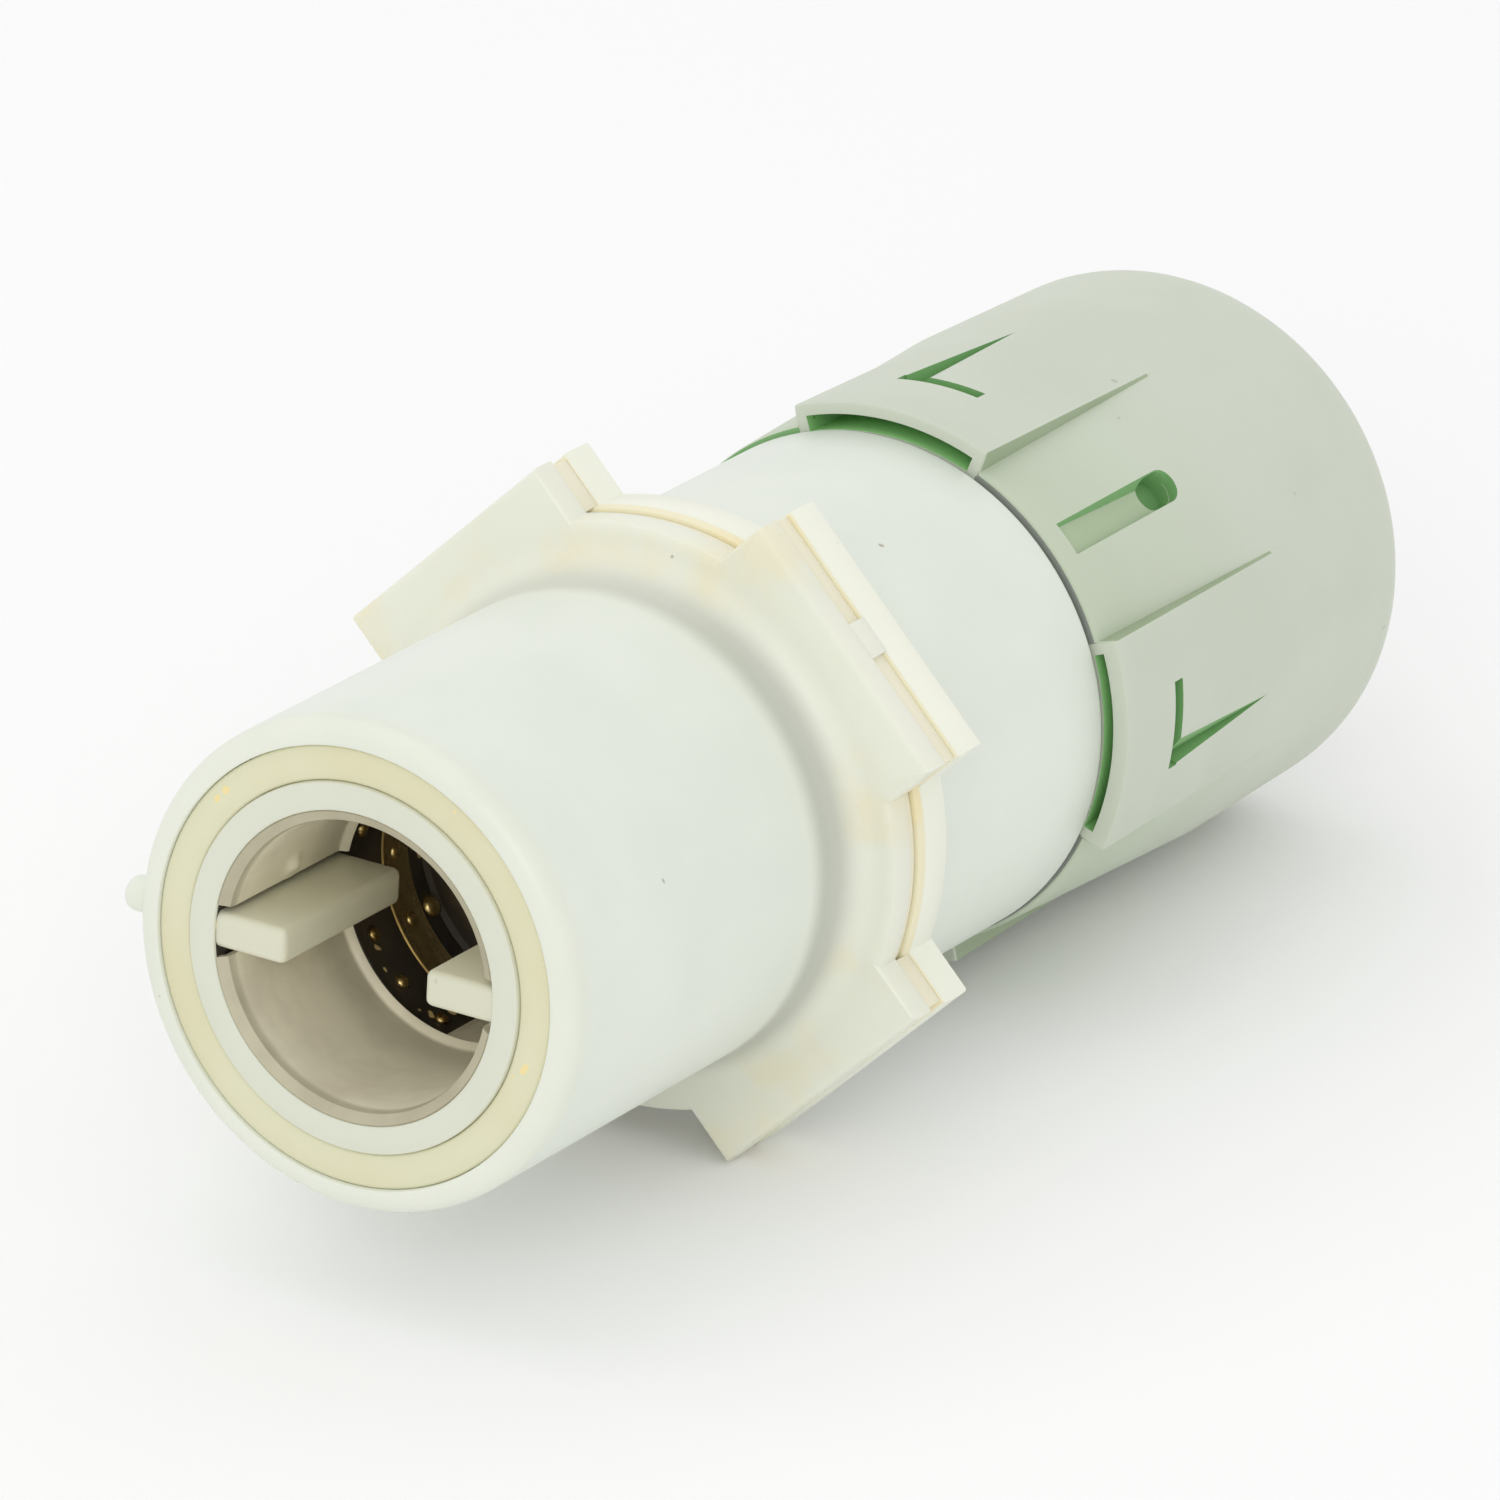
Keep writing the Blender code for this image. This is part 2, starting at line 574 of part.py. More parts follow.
cuts = bmesh.new()
strokes = bmesh.new()
holes = bmesh.new()
slot_floor = flute_r - SLOT_BELOW
hollow_in = flute_r - HOLLOW_BELOW
for k in range(4):
    pad = 90 * k
    hand = 1 if k % 2 else -1
    arc_block(cuts, hollow_in, hollow_in + HOLLOW_T, cap_front - 1, cap_front + HOLLOW_DEPTH,
              pad, PAD_HALF_DEG - HOLLOW_END_DEG, 8)
    if k % 2 == 0:
        prism(cuts, slot_outline(SLOT_FRONT, SLOT_END), slot_floor, pad_r + 2, flute_place(pad + 45))
        hole_at = turned(pad + 45)(skirt_in + LATCH_WALL, 0, SLOT_END - SLOT_W / 2)
        rod(holes, hole_at, turned(pad + 45)(1, 0, 0), SLOT_W / 2 - LATCH_EDGE, pad_r, 16)

    def on_pad(deg, y, r, at=pad, way=hand):
        a = math.radians(at + way * deg)
        return cuts.verts.new((r * math.cos(a) * MM, y * MM, r * math.sin(a) * MM))

    arm_deg = MARK_NEAR_DEG - ARM_INSET_DEG
    arm_front = MARK_FRONT + MARK_W / 2
    top = on_pad(arm_deg, arm_front, pad_r + 0.9)
    deep = on_pad(arm_deg, arm_front, pad_r - ARM_DEPTH)
    tip = on_pad(MARK_TIP_DEG, MARK_END, pad_r + 0.1)
    inner = on_pad(arm_deg - ARM_DEG, arm_front, pad_r + 0.1)
    for corners in ((top, deep, tip), (top, inner, deep), (top, tip, inner), (deep, inner, tip)):
        cuts.faces.new(corners)
    middle = pad + hand * (MARK_NEAR_DEG - MARK_FAR_DEG) / 2
    arc_block(strokes, pad_r - MARK_DEPTH, pad_r + 1, MARK_FRONT, MARK_FRONT + MARK_W,
              middle, (MARK_NEAR_DEG + MARK_FAR_DEG) / 2, 6)
combine(cap, cuts, "cap_cuts", "DIFFERENCE")
combine(cap, strokes, "mark_strokes", "DIFFERENCE")
combine(cap, holes, "latch_holes", "DIFFERENCE")

# O-ring on the neck
ring_part("cap_seal", rounded(ring_r, CAP_SEAL_AT, CAP_SEAL_R, 0, 315, 7), black)

# cable entry in the cap's rear wall: grommet, washer and clamping collet
grommet_r = CABLE_R + GROMMET_WALL
lip_r = grommet_r + GROMMET_LIP
lip_front = inside_end - GAP - GROMMET_LIP_T
ring_part("cable_grommet", [(CABLE_R, lip_front), (lip_r, lip_front), (lip_r, inside_end - GAP),
                            (grommet_r, inside_end - GAP), (grommet_r, CAP_END + GROMMET_OUT / 2),
                            (CABLE_R + GROMMET_WALL / 4, CAP_END + GROMMET_OUT), (CABLE_R, CAP_END + GROMMET_OUT)], black)
washer_front = lip_front - GAP - WASHER_T
clamp_in = CABLE_R + CABLE_PLAY
washer_r = skirt_in - WASHER_PLAY
ring_part("clamp_washer", [(clamp_in, washer_front), (washer_r, washer_front),
                           (washer_r, washer_front + WASHER_T), (clamp_in, washer_front + WASHER_T)], steel)
collet_end = washer_front - GAP
collet_front = collet_end - COLLET_LEN
collet_neck = collet_end - COLLET_HEAD
collet_r = clamp_in + COLLET_WALL
collet_head = neck_in - COLLET_PLAY
collet = ring_part("cable_collet", [(clamp_in, collet_front), (collet_r - COLLET_WALL * 0.4, collet_front),
                                    (collet_r, collet_neck), (collet_head, collet_neck),
                                    (collet_head, collet_end), (clamp_in, collet_end)], grey)
fingers = bmesh.new()
for deg in (0, 90, 180, 270):
    prism(fingers, box_outline(clamp_in - COLLET_WALL, collet_r + 2, -COLLET_SLOT / 2, COLLET_SLOT / 2),
          collet_front - 1, collet_neck - COLLET_SLOT, turned(deg))
combine(collet, fingers, "collet_slots", "DIFFERENCE")
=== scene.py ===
# %% [markdown]
# A plug-in lampholder in Blender
#
# The object is a small plastic lamp socket: a round white barrel, a flange with four straight
# tabs, a bore with two metal half-shells and a sprung brass pin, and a fluted grey-green cap.
# The CAD model gives the frame. Here every piece that shows is made again with finer curves,
# soft edges and real finishes, and rides on the CAD body it belongs to.

import math

import bmesh
import bpy
from mathutils import Matrix, Vector


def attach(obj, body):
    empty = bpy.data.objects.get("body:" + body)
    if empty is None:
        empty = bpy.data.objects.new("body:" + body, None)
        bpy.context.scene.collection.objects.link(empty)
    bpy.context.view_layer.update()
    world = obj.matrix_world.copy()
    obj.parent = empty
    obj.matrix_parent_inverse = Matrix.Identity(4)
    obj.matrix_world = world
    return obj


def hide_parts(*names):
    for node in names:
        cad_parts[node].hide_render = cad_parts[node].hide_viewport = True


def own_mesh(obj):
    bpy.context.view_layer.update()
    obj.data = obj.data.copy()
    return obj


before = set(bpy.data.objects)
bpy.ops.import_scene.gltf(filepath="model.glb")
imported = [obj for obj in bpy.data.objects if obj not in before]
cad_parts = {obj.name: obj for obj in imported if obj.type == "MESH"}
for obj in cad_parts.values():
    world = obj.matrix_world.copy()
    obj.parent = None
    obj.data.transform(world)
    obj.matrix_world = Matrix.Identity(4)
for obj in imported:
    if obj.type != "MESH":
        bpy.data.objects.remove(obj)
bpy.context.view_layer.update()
MM = 0.001

# %% [markdown]
# Sizes come first, in millimetres, as a maker would write them on a drawing. Most repeat the CAD
# model's values, so each new piece fits where the solid is. The cap's slight taper and the place
# where its flutes end were read from the photo later. The axis is Y and the mouth faces -Y.

# %% Sizes
BARREL_R = 16.0
RIM_Y = -32.3
RIM_IN = 14.3
RIM_ROUND = 1.3
GROOVE_FLOOR = -20.0
LINER_R = 12.0
BORE_R = 10.13
LINER_END = -18.1
RIB_IN = 5.1
RIB_T = 2.4
RIB_END = -18.7
SHELL_R = 9.33
SHELL_T = 0.5
SHELL_BACK = -19.1
DISC_R = 19.5
TAB_D = 21.1
TAB_HALF = 9.3
FRONT_PLATE = (0.0, 2.1)
REAR_PLATE = (2.9, 6.6)
SLIT_BACK = 3.6
KEY_W = 2.6
COVE_R = 2.6
SPIGOT_R = 14.2
SPIGOT_END = 12.1
MID_R = 17.3
MID_END = 29.7
NECK_R = 14.6
NECK_IN = 12.9
NECK_END = 50.0
CAP_FRONT = 30.0
SKIRT_IN = 15.9
PAD_R = 19.0
CAP_TAPER = 0.8
FLUTE_R = 17.6
FLUTE_END = 52.5
PAD_HALF = 22.5
CAP_END = 70.1
CAP_ROUND = 4.5
CAP_WALL_FRONT = 66.9
ENTRY_R = 6.5
print("overall length", round(CAP_END - RIM_Y, 1), "mm")

# %% [markdown]
# Most of this object was turned on the drawing board: a profile goes round the axis. One helper
# makes such a ring from stations, each a radius and a place along the axis. A radius may also be
# a function of the angle, and then the same helper makes tabs and pads. Sharp edges are marked
# by angle, so broad faces shade smoothly and corners stay crisp.

# %% Helpers for turned pieces


def even(count):
    return [360.0 * i / count for i in range(count)]


def four_fold(offs, middle):
    angles = set()
    for quarter in range(4):
        for off in offs:
            angles.add(round((middle + 90 * quarter + off) % 360, 4))
            angles.add(round((middle + 90 * quarter - off) % 360, 4))
    return sorted(angles)


def finish_piece(name, bm, sharp=35.0, material=None):
    bmesh.ops.remove_doubles(bm, verts=bm.verts, dist=1e-7)
    bmesh.ops.recalc_face_normals(bm, faces=bm.faces)
    for face in bm.faces:
        face.smooth = True
    mesh = bpy.data.meshes.new(name)
    bm.to_mesh(mesh)
    bm.free()
    mesh.set_sharp_from_angle(angle=math.radians(sharp))
    piece = bpy.data.objects.new(name, mesh)
    bpy.context.scene.collection.objects.link(piece)
    if material:
        mesh.materials.append(material)
    return piece


def join_rings(bm, rings, closed):
    pairs = len(rings) if closed else len(rings) - 1
    for k in range(pairs):
        one, two = rings[k], rings[(k + 1) % len(rings)]
        for i in range(len(one)):
            j = (i + 1) % len(one)
            bm.faces.new((one[i], one[j], two[j], two[i]))
    if not closed:
        bm.faces.new(rings[0])
        bm.faces.new(rings[-1])


def spin_stations(bm, stations, angles, closed=True):
    rings = []
    for radius, y in stations:
        ring = []
        for deg in angles:
            r = radius(deg) if callable(radius) else radius
            a = math.radians(deg)
            ring.append(bm.verts.new((r * math.cos(a) * MM, y * MM, r * math.sin(a) * MM)))
        rings.append(ring)
    join_rings(bm, rings, closed)


def turned_piece(name, stations, angles, material, sharp=35.0):
    bm = bmesh.new()
    spin_stations(bm, stations, angles)
    return finish_piece(name, bm, sharp, material)


def arc(r, y, radius, start, end, steps=8):
    points = []
    for i in range(steps + 1):
        a = math.radians(start + (end - start) * i / steps)
        points.append((r + radius * math.cos(a), y + radius * math.sin(a)))
    return points


def at_angle(deg):
    a = math.radians(deg)
    return lambda out, side, along: Vector((
        out * math.cos(a) - side * math.sin(a), along, out * math.sin(a) + side * math.cos(a))) * MM


def domed_peg(bm, place, middle, profile, count):
    rings = []
    for radius, out in profile:
        ring = []
        for deg in even(count):
            a = math.radians(deg)
            ring.append(bm.verts.new(place(out, radius * math.cos(a), middle + radius * math.sin(a))))
        rings.append(ring)
    join_rings(bm, rings, closed=False)


def baked(piece):
    graph = bpy.context.evaluated_depsgraph_get()
    mesh = bpy.data.meshes.new_from_object(piece.evaluated_get(graph))
    piece.modifiers.clear()
    piece.data = mesh
    return piece


def combined(piece, tool, operation, sharp=35.0):
    step = piece.modifiers.new("combine", "BOOLEAN")
    step.operation = operation
    step.solver = "EXACT"
    step.material_mode = "TRANSFER"
    step.object = tool
    baked(piece)
    bpy.data.objects.remove(tool, do_unlink=True)
    for face in piece.data.polygons:
        face.use_smooth = True
    piece.data.set_sharp_from_angle(angle=math.radians(sharp))
    return piece


def seat(piece, body, slot, *nodes):
    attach(piece, body)
    if nodes:
        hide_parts(*nodes)
    print(f"{piece.name}: {len(piece.data.polygons)} faces on {body}")


# %% [markdown]
# Finishes. Moulded plastic is never one flat colour: it has a fine spark-eroded skin, slow
# clouds of tone where the melt flowed, and a few dark specks. That is one shader group, used
# by each plastic with its own colours. It reads Object coordinates, so nothing slides.

# %% Moulded plastic group


def new_group(name, inputs, outputs):
    group = bpy.data.node_groups.new(name, "ShaderNodeTree")
    for label, kind, value in inputs:
        socket = group.interface.new_socket(label, in_out="INPUT", socket_type=kind)
        socket.default_value = value
    for label, kind in outputs:
        group.interface.new_socket(label, in_out="OUTPUT", socket_type=kind)
    return group, group.nodes.new("NodeGroupInput"), group.nodes.new("NodeGroupOutput")


def added(tree, kind, inputs, **settings):
    node = tree.nodes.new(kind)
    for label, value in settings.items():
        setattr(node, label, value)
    for label, value in inputs.items():
        if hasattr(value, "is_linked"):
            tree.links.new(value, node.inputs[label])
        else:
            node.inputs[label].default_value = value
    return node


def mixed(tree, factor, first, second, mode="MIX"):
    values = {0: factor, 6: first, 7: second}
    return added(tree, "ShaderNodeMix", values, data_type="RGBA", blend_type=mode).outputs[2]


def ranged(tree, value, low, high, to_low=0.0, to_high=1.0, style="SMOOTHSTEP"):
    limits = {"Value": value, "From Min": low, "From Max": high, "To Min": to_low, "To Max": to_high}
    return added(tree, "ShaderNodeMapRange", limits, interpolation_type=style).outputs[0]


def calc(tree, operation, *values):
    return added(tree, "ShaderNodeMath", dict(enumerate(values)), operation=operation).outputs[0]


def noise(tree, place, scale, detail=3.0, rough=0.55):
    values = {"Vector": place, "Scale": scale, "Detail": detail, "Roughness": rough}
    return added(tree, "ShaderNodeTexNoise", values).outputs["Fac"]


def object_place(tree):
    return tree.nodes.new("ShaderNodeTexCoord").outputs["Object"]


def build_moulded_group():
    group, given, result = new_group(
        "moulded_skin",
        [("Tone", "NodeSocketColor", (0.8, 0.8, 0.8, 1)),
         ("Cloud tone", "NodeSocketColor", (0.7, 0.7, 0.7, 1)),
         ("Speck tone", "NodeSocketColor", (0.2, 0.2, 0.15, 1)),
         ("Gloss", "NodeSocketFloat", 0.4), ("Speck level", "NodeSocketFloat", 0.815)],
        [("Color", "NodeSocketColor"), ("Roughness", "NodeSocketFloat"), ("Height", "NodeSocketFloat")])
    place = object_place(group)
    clouds = ranged(group, noise(group, place, 70.0), 0.38, 0.72)
    level = given.outputs["Speck level"]
    dots = noise(group, place, 700.0, 1.0)
    specks = ranged(group, dots, level, calc(group, "ADD", level, 0.025))
    grain = noise(group, place, 4200.0, 2.0)
    color = mixed(group, clouds, given.outputs["Tone"], given.outputs["Cloud tone"])
    color = mixed(group, specks, color, given.outputs["Speck tone"])
    rough = calc(group, "MULTIPLY_ADD", grain, 0.14, given.outputs["Gloss"])
    for label, value in (("Color", color), ("Roughness", rough), ("Height", grain)):
        group.links.new(value, result.inputs[label])
    return group


moulded_skin = build_moulded_group()
print("group", moulded_skin.name, "with", len(moulded_skin.nodes), "nodes")

# %% [markdown]
# A material places the group and wires it to the shader. Then tints go over its tone: each is a
# colour to multiply by, a mask, and the mask's limits in millimetres. Most masks are a band along
# Y: a rise and a fall of the place along the axis, multiplied.
# The white plastic has yellowed at the rim and the flange, in patches and inside the slit, and the
# rear plate is paler. The cove has painted shade, stronger on the right; the bore behind its front
# edge has painted shade, warmed as by light off the shells; the cap's flutes have a little painted shade.

# %% Plastic materials


def group_material(name, group, values, tints, strength, depth):
    material = bpy.data.materials.new(name)
    material.use_nodes = True
    tree = material.node_tree
    shader = tree.nodes["Principled BSDF"]
    skin = added(tree, "ShaderNodeGroup", values, node_tree=group)
    color = skin.outputs["Color"]
    for tint, mask, where in tints:
        color = mixed(tree, mask(tree, where), color, (*tint, 1), "MULTIPLY")
    relief = {"Strength": strength, "Distance": depth, "Height": skin.outputs["Height"]}
    bump = added(tree, "ShaderNodeBump", relief)
    tree.links.new(color, shader.inputs["Base Color"])
    tree.links.new(skin.outputs["Roughness"], shader.inputs["Roughness"])
    tree.links.new(bump.outputs[0], shader.inputs["Normal"])
    return material, shader


def object_axes(tree):
    return added(tree, "ShaderNodeSeparateXYZ", {0: object_place(tree)}).outputs


def band_mask(tree, band):
    x, y, z = object_axes(tree)
    rise = ranged(tree, y, band[0] * MM, band[1] * MM)
    fall = ranged(tree, y, band[2] * MM, band[3] * MM, 1.0, 0.0)
    return calc(tree, "MULTIPLY", rise, fall)


# Mask for the cove's painted shade: the band along Y, full on the +X side and weaker towards -X.
def cove_mask(tree, band):
    x, y, z = object_axes(tree)
    side = ranged(tree, x, -12.0 * MM, 15.0 * MM, 0.45, 1.0)
    return calc(tree, "MULTIPLY", band_mask(tree, band), side)


def patch_mask(tree, band):
    patches = ranged(tree, noise(tree, object_place(tree), 130.0), 0.46, 0.66)
    return calc(tree, "MULTIPLY", band_mask(tree, band), patches)


# Mask for the flutes' painted shade: full in each flute, nothing on the pads, fading to the run-out.
def flute_mask(tree, edge):
    x, y, z = object_axes(tree)
    angle = calc(tree, "ARCTAN2", z, x)
    off = calc(tree, "ABSOLUTE", calc(tree, "WRAP", angle, math.pi / 4, -math.pi / 4))
    inside = ranged(tree, off, math.radians(PAD_HALF - edge), math.radians(PAD_HALF + edge))
    run_out = ranged(tree, y, CAP_FRONT * MM, FLUTE_END * MM, 1.0, 0.0)
    return calc(tree, "MULTIPLY", inside, run_out)


def plastic(name, tone, cloud, speck, gloss, tints=(), level=0.815):
    values = {"Tone": (*tone, 1), "Cloud tone": (*cloud, 1), "Speck tone": (*speck, 1),
              "Gloss": gloss, "Speck level": level}
    material, shader = group_material(name, moulded_skin, values, tints, 0.12, 0.00005)
    shader.inputs["Subsurface Weight"].default_value = 0.08
    shader.inputs["Subsurface Radius"].default_value = (1.0, 0.9, 0.6)
    shader.inputs["Subsurface Scale"].default_value = 0.0012
    return material


FLANGE_WARMTH = ((1.05, 1.01, 0.96), band_mask, (-6.0, 0.5, 3.5, 3.9))
RIM_WARMTH = ((1.0, 0.985, 0.95), band_mask, (RIM_Y - 1.0, RIM_Y - 0.5, RIM_Y + 1.0, RIM_Y + 2.5))
REAR_PALE = ((1.13, 1.09, 1.04), band_mask, (3.5, 3.9, 6.6, 7.0))
# Painted shade in the cove between barrel and flange, darker on the right side.
COVE_SHADE = ((0.68, 0.69, 0.685), cove_mask, (-4.6, -2.4, -1.6, -0.1))
FLANGE_PATCH = ((1.02, 0.965, 0.86), patch_mask, (-2.0, 0.0, 3.5, 3.9))
SLIT_WARMTH = ((1.06, 0.98, 0.81), band_mask, (2.02, 2.12, 3.58, 3.70))
# Painted shade inside the bore: the liner and ribs behind the front edge are darker and warmer, as where
# little light comes in and some of it comes off the shells.
BORE_PAINTED_SHADE = ((0.95, 0.89, 0.79), band_mask, (RIM_Y - 0.3, RIM_Y + 0.5, 0.0, 1.0))
# Painted shade in the sunken flutes: a little darker and greener, fading out towards the run-out.
FLUTE_PAINTED_SHADE = ((0.90, 0.94, 0.87), flute_mask, 0.4)
WHITE = (0.78, 0.818, 0.738)
WHITE_CLOUD = (0.745, 0.788, 0.708)
WHITE_SPECK = (0.45, 0.45, 0.36)
WHITE_TINTS = (RIM_WARMTH, FLANGE_WARMTH, REAR_PALE, COVE_SHADE, FLANGE_PATCH, SLIT_WARMTH)
white_plastic = plastic("white_plastic", WHITE, WHITE_CLOUD, WHITE_SPECK, 0.30, WHITE_TINTS)
key_plastic = plastic("key_plastic", WHITE, WHITE_CLOUD, WHITE_SPECK, 0.30, (FLANGE_WARMTH,))
liner_plastic = plastic("liner_plastic", (0.71, 0.745, 0.64), (0.68, 0.715, 0.61),
                        (0.62, 0.64, 0.52), 0.34, (BORE_PAINTED_SHADE,))
print("white plastics:", white_plastic.name, key_plastic.name, liner_plastic.name)

# %% [markdown]
# The cap is one grey-green moulding, but in the photo its recesses look darker and greener than
# its skin. So the steps beside the flutes, the hollows, the marks and the slot floors get painted
# shade in deeper green tones. The cap's front face in the flutes gets a dim grey painted shade:
# all that shows of it there is the joint line.

# %% Cap colours
cap_plastic = plastic("cap_plastic", (0.60, 0.645, 0.54), (0.575, 0.62, 0.51),
                      (0.46, 0.50, 0.40), 0.36, (FLUTE_PAINTED_SHADE,))
# Painted shade for the cap's steps, hollows, recess walls and marks, joint line and slot floors.
flute_shade = plastic("flute_shade", (0.36, 0.44, 0.29), (0.32, 0.40, 0.25), (0.20, 0.26, 0.15), 0.42)
hollow_painted_shade = plastic("hollow_painted_shade", (0.38, 0.72, 0.30), (0.34, 0.65, 0.26), (0.2, 0.4, 0.15), 0.5)
recess_painted_shade = plastic("recess_painted_shade", (0.21, 0.43, 0.17), (0.18, 0.38, 0.14), (0.10, 0.20, 0.08), 0.5)
joint_painted_shade = plastic("joint_painted_shade", (0.27, 0.29, 0.26), (0.24, 0.26, 0.23), (0.15, 0.17, 0.14), 0.5)
slot_floor_painted_shade = plastic("slot_floor_painted_shade", (0.42, 0.52, 0.34), (0.38, 0.48, 0.30),
                           (0.3, 0.4, 0.22), 0.42)
print("cap colours:", cap_plastic.name, flute_shade.name, hollow_painted_shade.name, recess_painted_shade.name)

# %% [markdown]
# Metals. Sheet that was rolled and then tinned shows fine lines along the rolling and a slow stain
# where fingers and lamps touched it. Turned brass has rings round its axis. Both use one streak
# group, stretched in different directions. The shells look pale and matt in the photo, so their
# Metallic value is low. Two bands darken their lip and their rear edge.

# %% Streaked metal group


def build_streak_group():
    group, given, result = new_group(
        "metal_streaks",
        [("Tone", "NodeSocketColor", (0.6, 0.6, 0.6, 1)),
         ("Stain", "NodeSocketColor", (0.4, 0.35, 0.3, 1)),
         ("Gloss", "NodeSocketFloat", 0.3),
         ("Stretch", "NodeSocketVector", (900.0, 60.0, 900.0))],
        [("Color", "NodeSocketColor"), ("Roughness", "NodeSocketFloat"), ("Height", "NodeSocketFloat")])
    place = object_place(group)
    drawn = {0: place, 1: given.outputs["Stretch"]}
    stretch = added(group, "ShaderNodeVectorMath", drawn, operation="MULTIPLY")
    lines = noise(group, stretch.outputs[0], 1.0, 4.0, 0.6)
    stain = ranged(group, noise(group, place, 190.0, 4.0), 0.42, 0.70)
    color = mixed(group, stain, given.outputs["Tone"], given.outputs["Stain"])
    rough = calc(group, "MULTIPLY_ADD", lines, 0.3, given.outputs["Gloss"])
    for label, value in (("Color", color), ("Roughness", rough), ("Height", lines)):
        group.links.new(value, result.inputs[label])
    return group


metal_streaks = build_streak_group()


def metal(name, tone, stain, gloss, stretch, tints=(), metallic=1.0):
    values = {"Tone": (*tone, 1), "Stain": (*stain, 1), "Gloss": gloss, "Stretch": stretch}
    material, shader = group_material(name, metal_streaks, values, tints, 0.25, 0.00004)
    shader.inputs["Metallic"].default_value = metallic
    return material


LIP_SHADE = ((0.52, 0.51, 0.46), band_mask, (-40.0, -39.0, -31.75, -30.9))
REAR_SHADE = ((0.80, 0.80, 0.79), band_mask, (-24.5, -20.2, -19.9, -19.6))
ROLLED = (500.0, 2200.0, 500.0)
TURNED = (300.0, 2600.0, 300.0)
DRAWN = (1500.0, 1500.0, 1500.0)
tinned_sheet = metal("tinned_sheet", (0.97, 0.92, 0.74), (0.85, 0.79, 0.63), 0.34, ROLLED,
                     (LIP_SHADE, REAR_SHADE), 0.2)
brass = metal("brass", (0.84, 0.65, 0.30), (0.58, 0.41, 0.17), 0.16, TURNED)
spring_steel = metal("spring_steel", (0.62, 0.62, 0.61), (0.45, 0.44, 0.42), 0.2, DRAWN)
print("metals:", tinned_sheet.name, brass.name, spring_steel.name)

# %% [markdown]
# The rest is soft or dark and uses the moulded group too. The cream silicone's orange specks are
# painted sparkle, and the phenolic in the bore has brown clouds and specks of painted brass glints,
# so both let more specks through.
# Light doesn't go into a dark surface, so those get no subsurface.

# %% Silicone, phenolic and rubber
# Painted sparkle: the silicone's frequent orange specks stand for small glints.
cream_silicone = plastic("cream_silicone", (0.72, 0.71, 0.50), (0.70, 0.66, 0.43),
                         (0.86, 0.72, 0.34), 0.42, level=0.74)
slit_cream = plastic("slit_cream", (0.84, 0.80, 0.63), (0.82, 0.775, 0.59), (0.7, 0.6, 0.35), 0.42)
# Painted glints: the brass-coloured specks in this dark phenolic stand for glints deep in the bore.
dark_phenolic = plastic("dark_phenolic", (0.035, 0.029, 0.022), (0.11, 0.085, 0.055),
                        (0.75, 0.58, 0.26), 0.36, level=0.70)
black_rubber = plastic("black_rubber", (0.022, 0.022, 0.022), (0.045, 0.045, 0.044),
                       (0.08, 0.08, 0.08), 0.55)
DARK_FINISHES = (dark_phenolic, black_rubber, recess_painted_shade, hollow_painted_shade, joint_painted_shade)
for dark in DARK_FINISHES:
    dark.node_tree.nodes["Principled BSDF"].inputs["Subsurface Weight"].default_value = 0.0
print("no subsurface in", len(DARK_FINISHES), "dark finishes")

# %% [markdown]
# The front moulding is barrel, rim, soft cove and front flange plate in one. The plate's outline
# is a round disc with four straight tabs, and seen from the axis it has one radius for each
# angle. So the whole moulding is one turned piece whose outer stations follow that outline.

# %% Front moulding


def tab_outline(deg):
    off = math.radians(abs(deg % 90 - 45))
    box = TAB_D / math.cos(off)
    if off > 0.01:
        box = min(box, TAB_HALF / math.sin(off))
    return max(DISC_R, box)


def outline_angles():
    corner = math.degrees(math.atan2(TAB_HALF, TAB_D))
    root = math.degrees(math.asin(TAB_HALF / DISC_R))
    offs = [0.0]
    for edge in (corner, root):
        offs += [edge - 0.5, edge - 0.12, edge, edge + 0.12, edge + 0.5]
    offs += [corner * i / 10 for i in range(1, 10)]
    offs += [root + (45 - root) * i / 8 for i in range(1, 9)]
    return four_fold([round(off, 4) for off in offs], 45)


def inset(amount):
    return lambda deg: tab_outline(deg) - amount


FLANGE_ANGLES = outline_angles()
low, high = FRONT_PLATE
stations = arc(BARREL_R - RIM_ROUND, RIM_Y + RIM_ROUND, RIM_ROUND, -90, 0, 10)
stations += [(BARREL_R, y) for y in (-26.0, -20.0, -14.0, -8.0)]
stations += arc(BARREL_R + COVE_R, low - COVE_R, COVE_R, 180, 90, 10)
stations += [(inset(0.45), low), (inset(0.13), low + 0.13), (inset(0.0), low + 0.45)]
stations += [(inset(0.0), high - 0.25), (inset(0.07), high - 0.07), (inset(0.25), high)]
stations += [(SPIGOT_R, high), (SPIGOT_R, SPIGOT_END), (LINER_R + 0.3, SPIGOT_END)]
stations += [(LINER_R + 0.3, GROOVE_FLOOR), (RIM_IN, GROOVE_FLOOR), (RIM_IN, RIM_Y + 0.15)]
stations += [(RIM_IN + 0.05, RIM_Y + 0.04), (RIM_IN + 0.15, RIM_Y)]
front_moulding = turned_piece("front_moulding", stations, FLANGE_ANGLES, white_plastic)
print("front moulding:", len(stations), "stations,", len(FLANGE_ANGLES), "angles")

# %% [markdown]
# The nub on the barrel's left side is a short round peg with a domed end, which probably keys the
# holder in its opening. It is a small turned piece laid along -X and joined to the barrel.

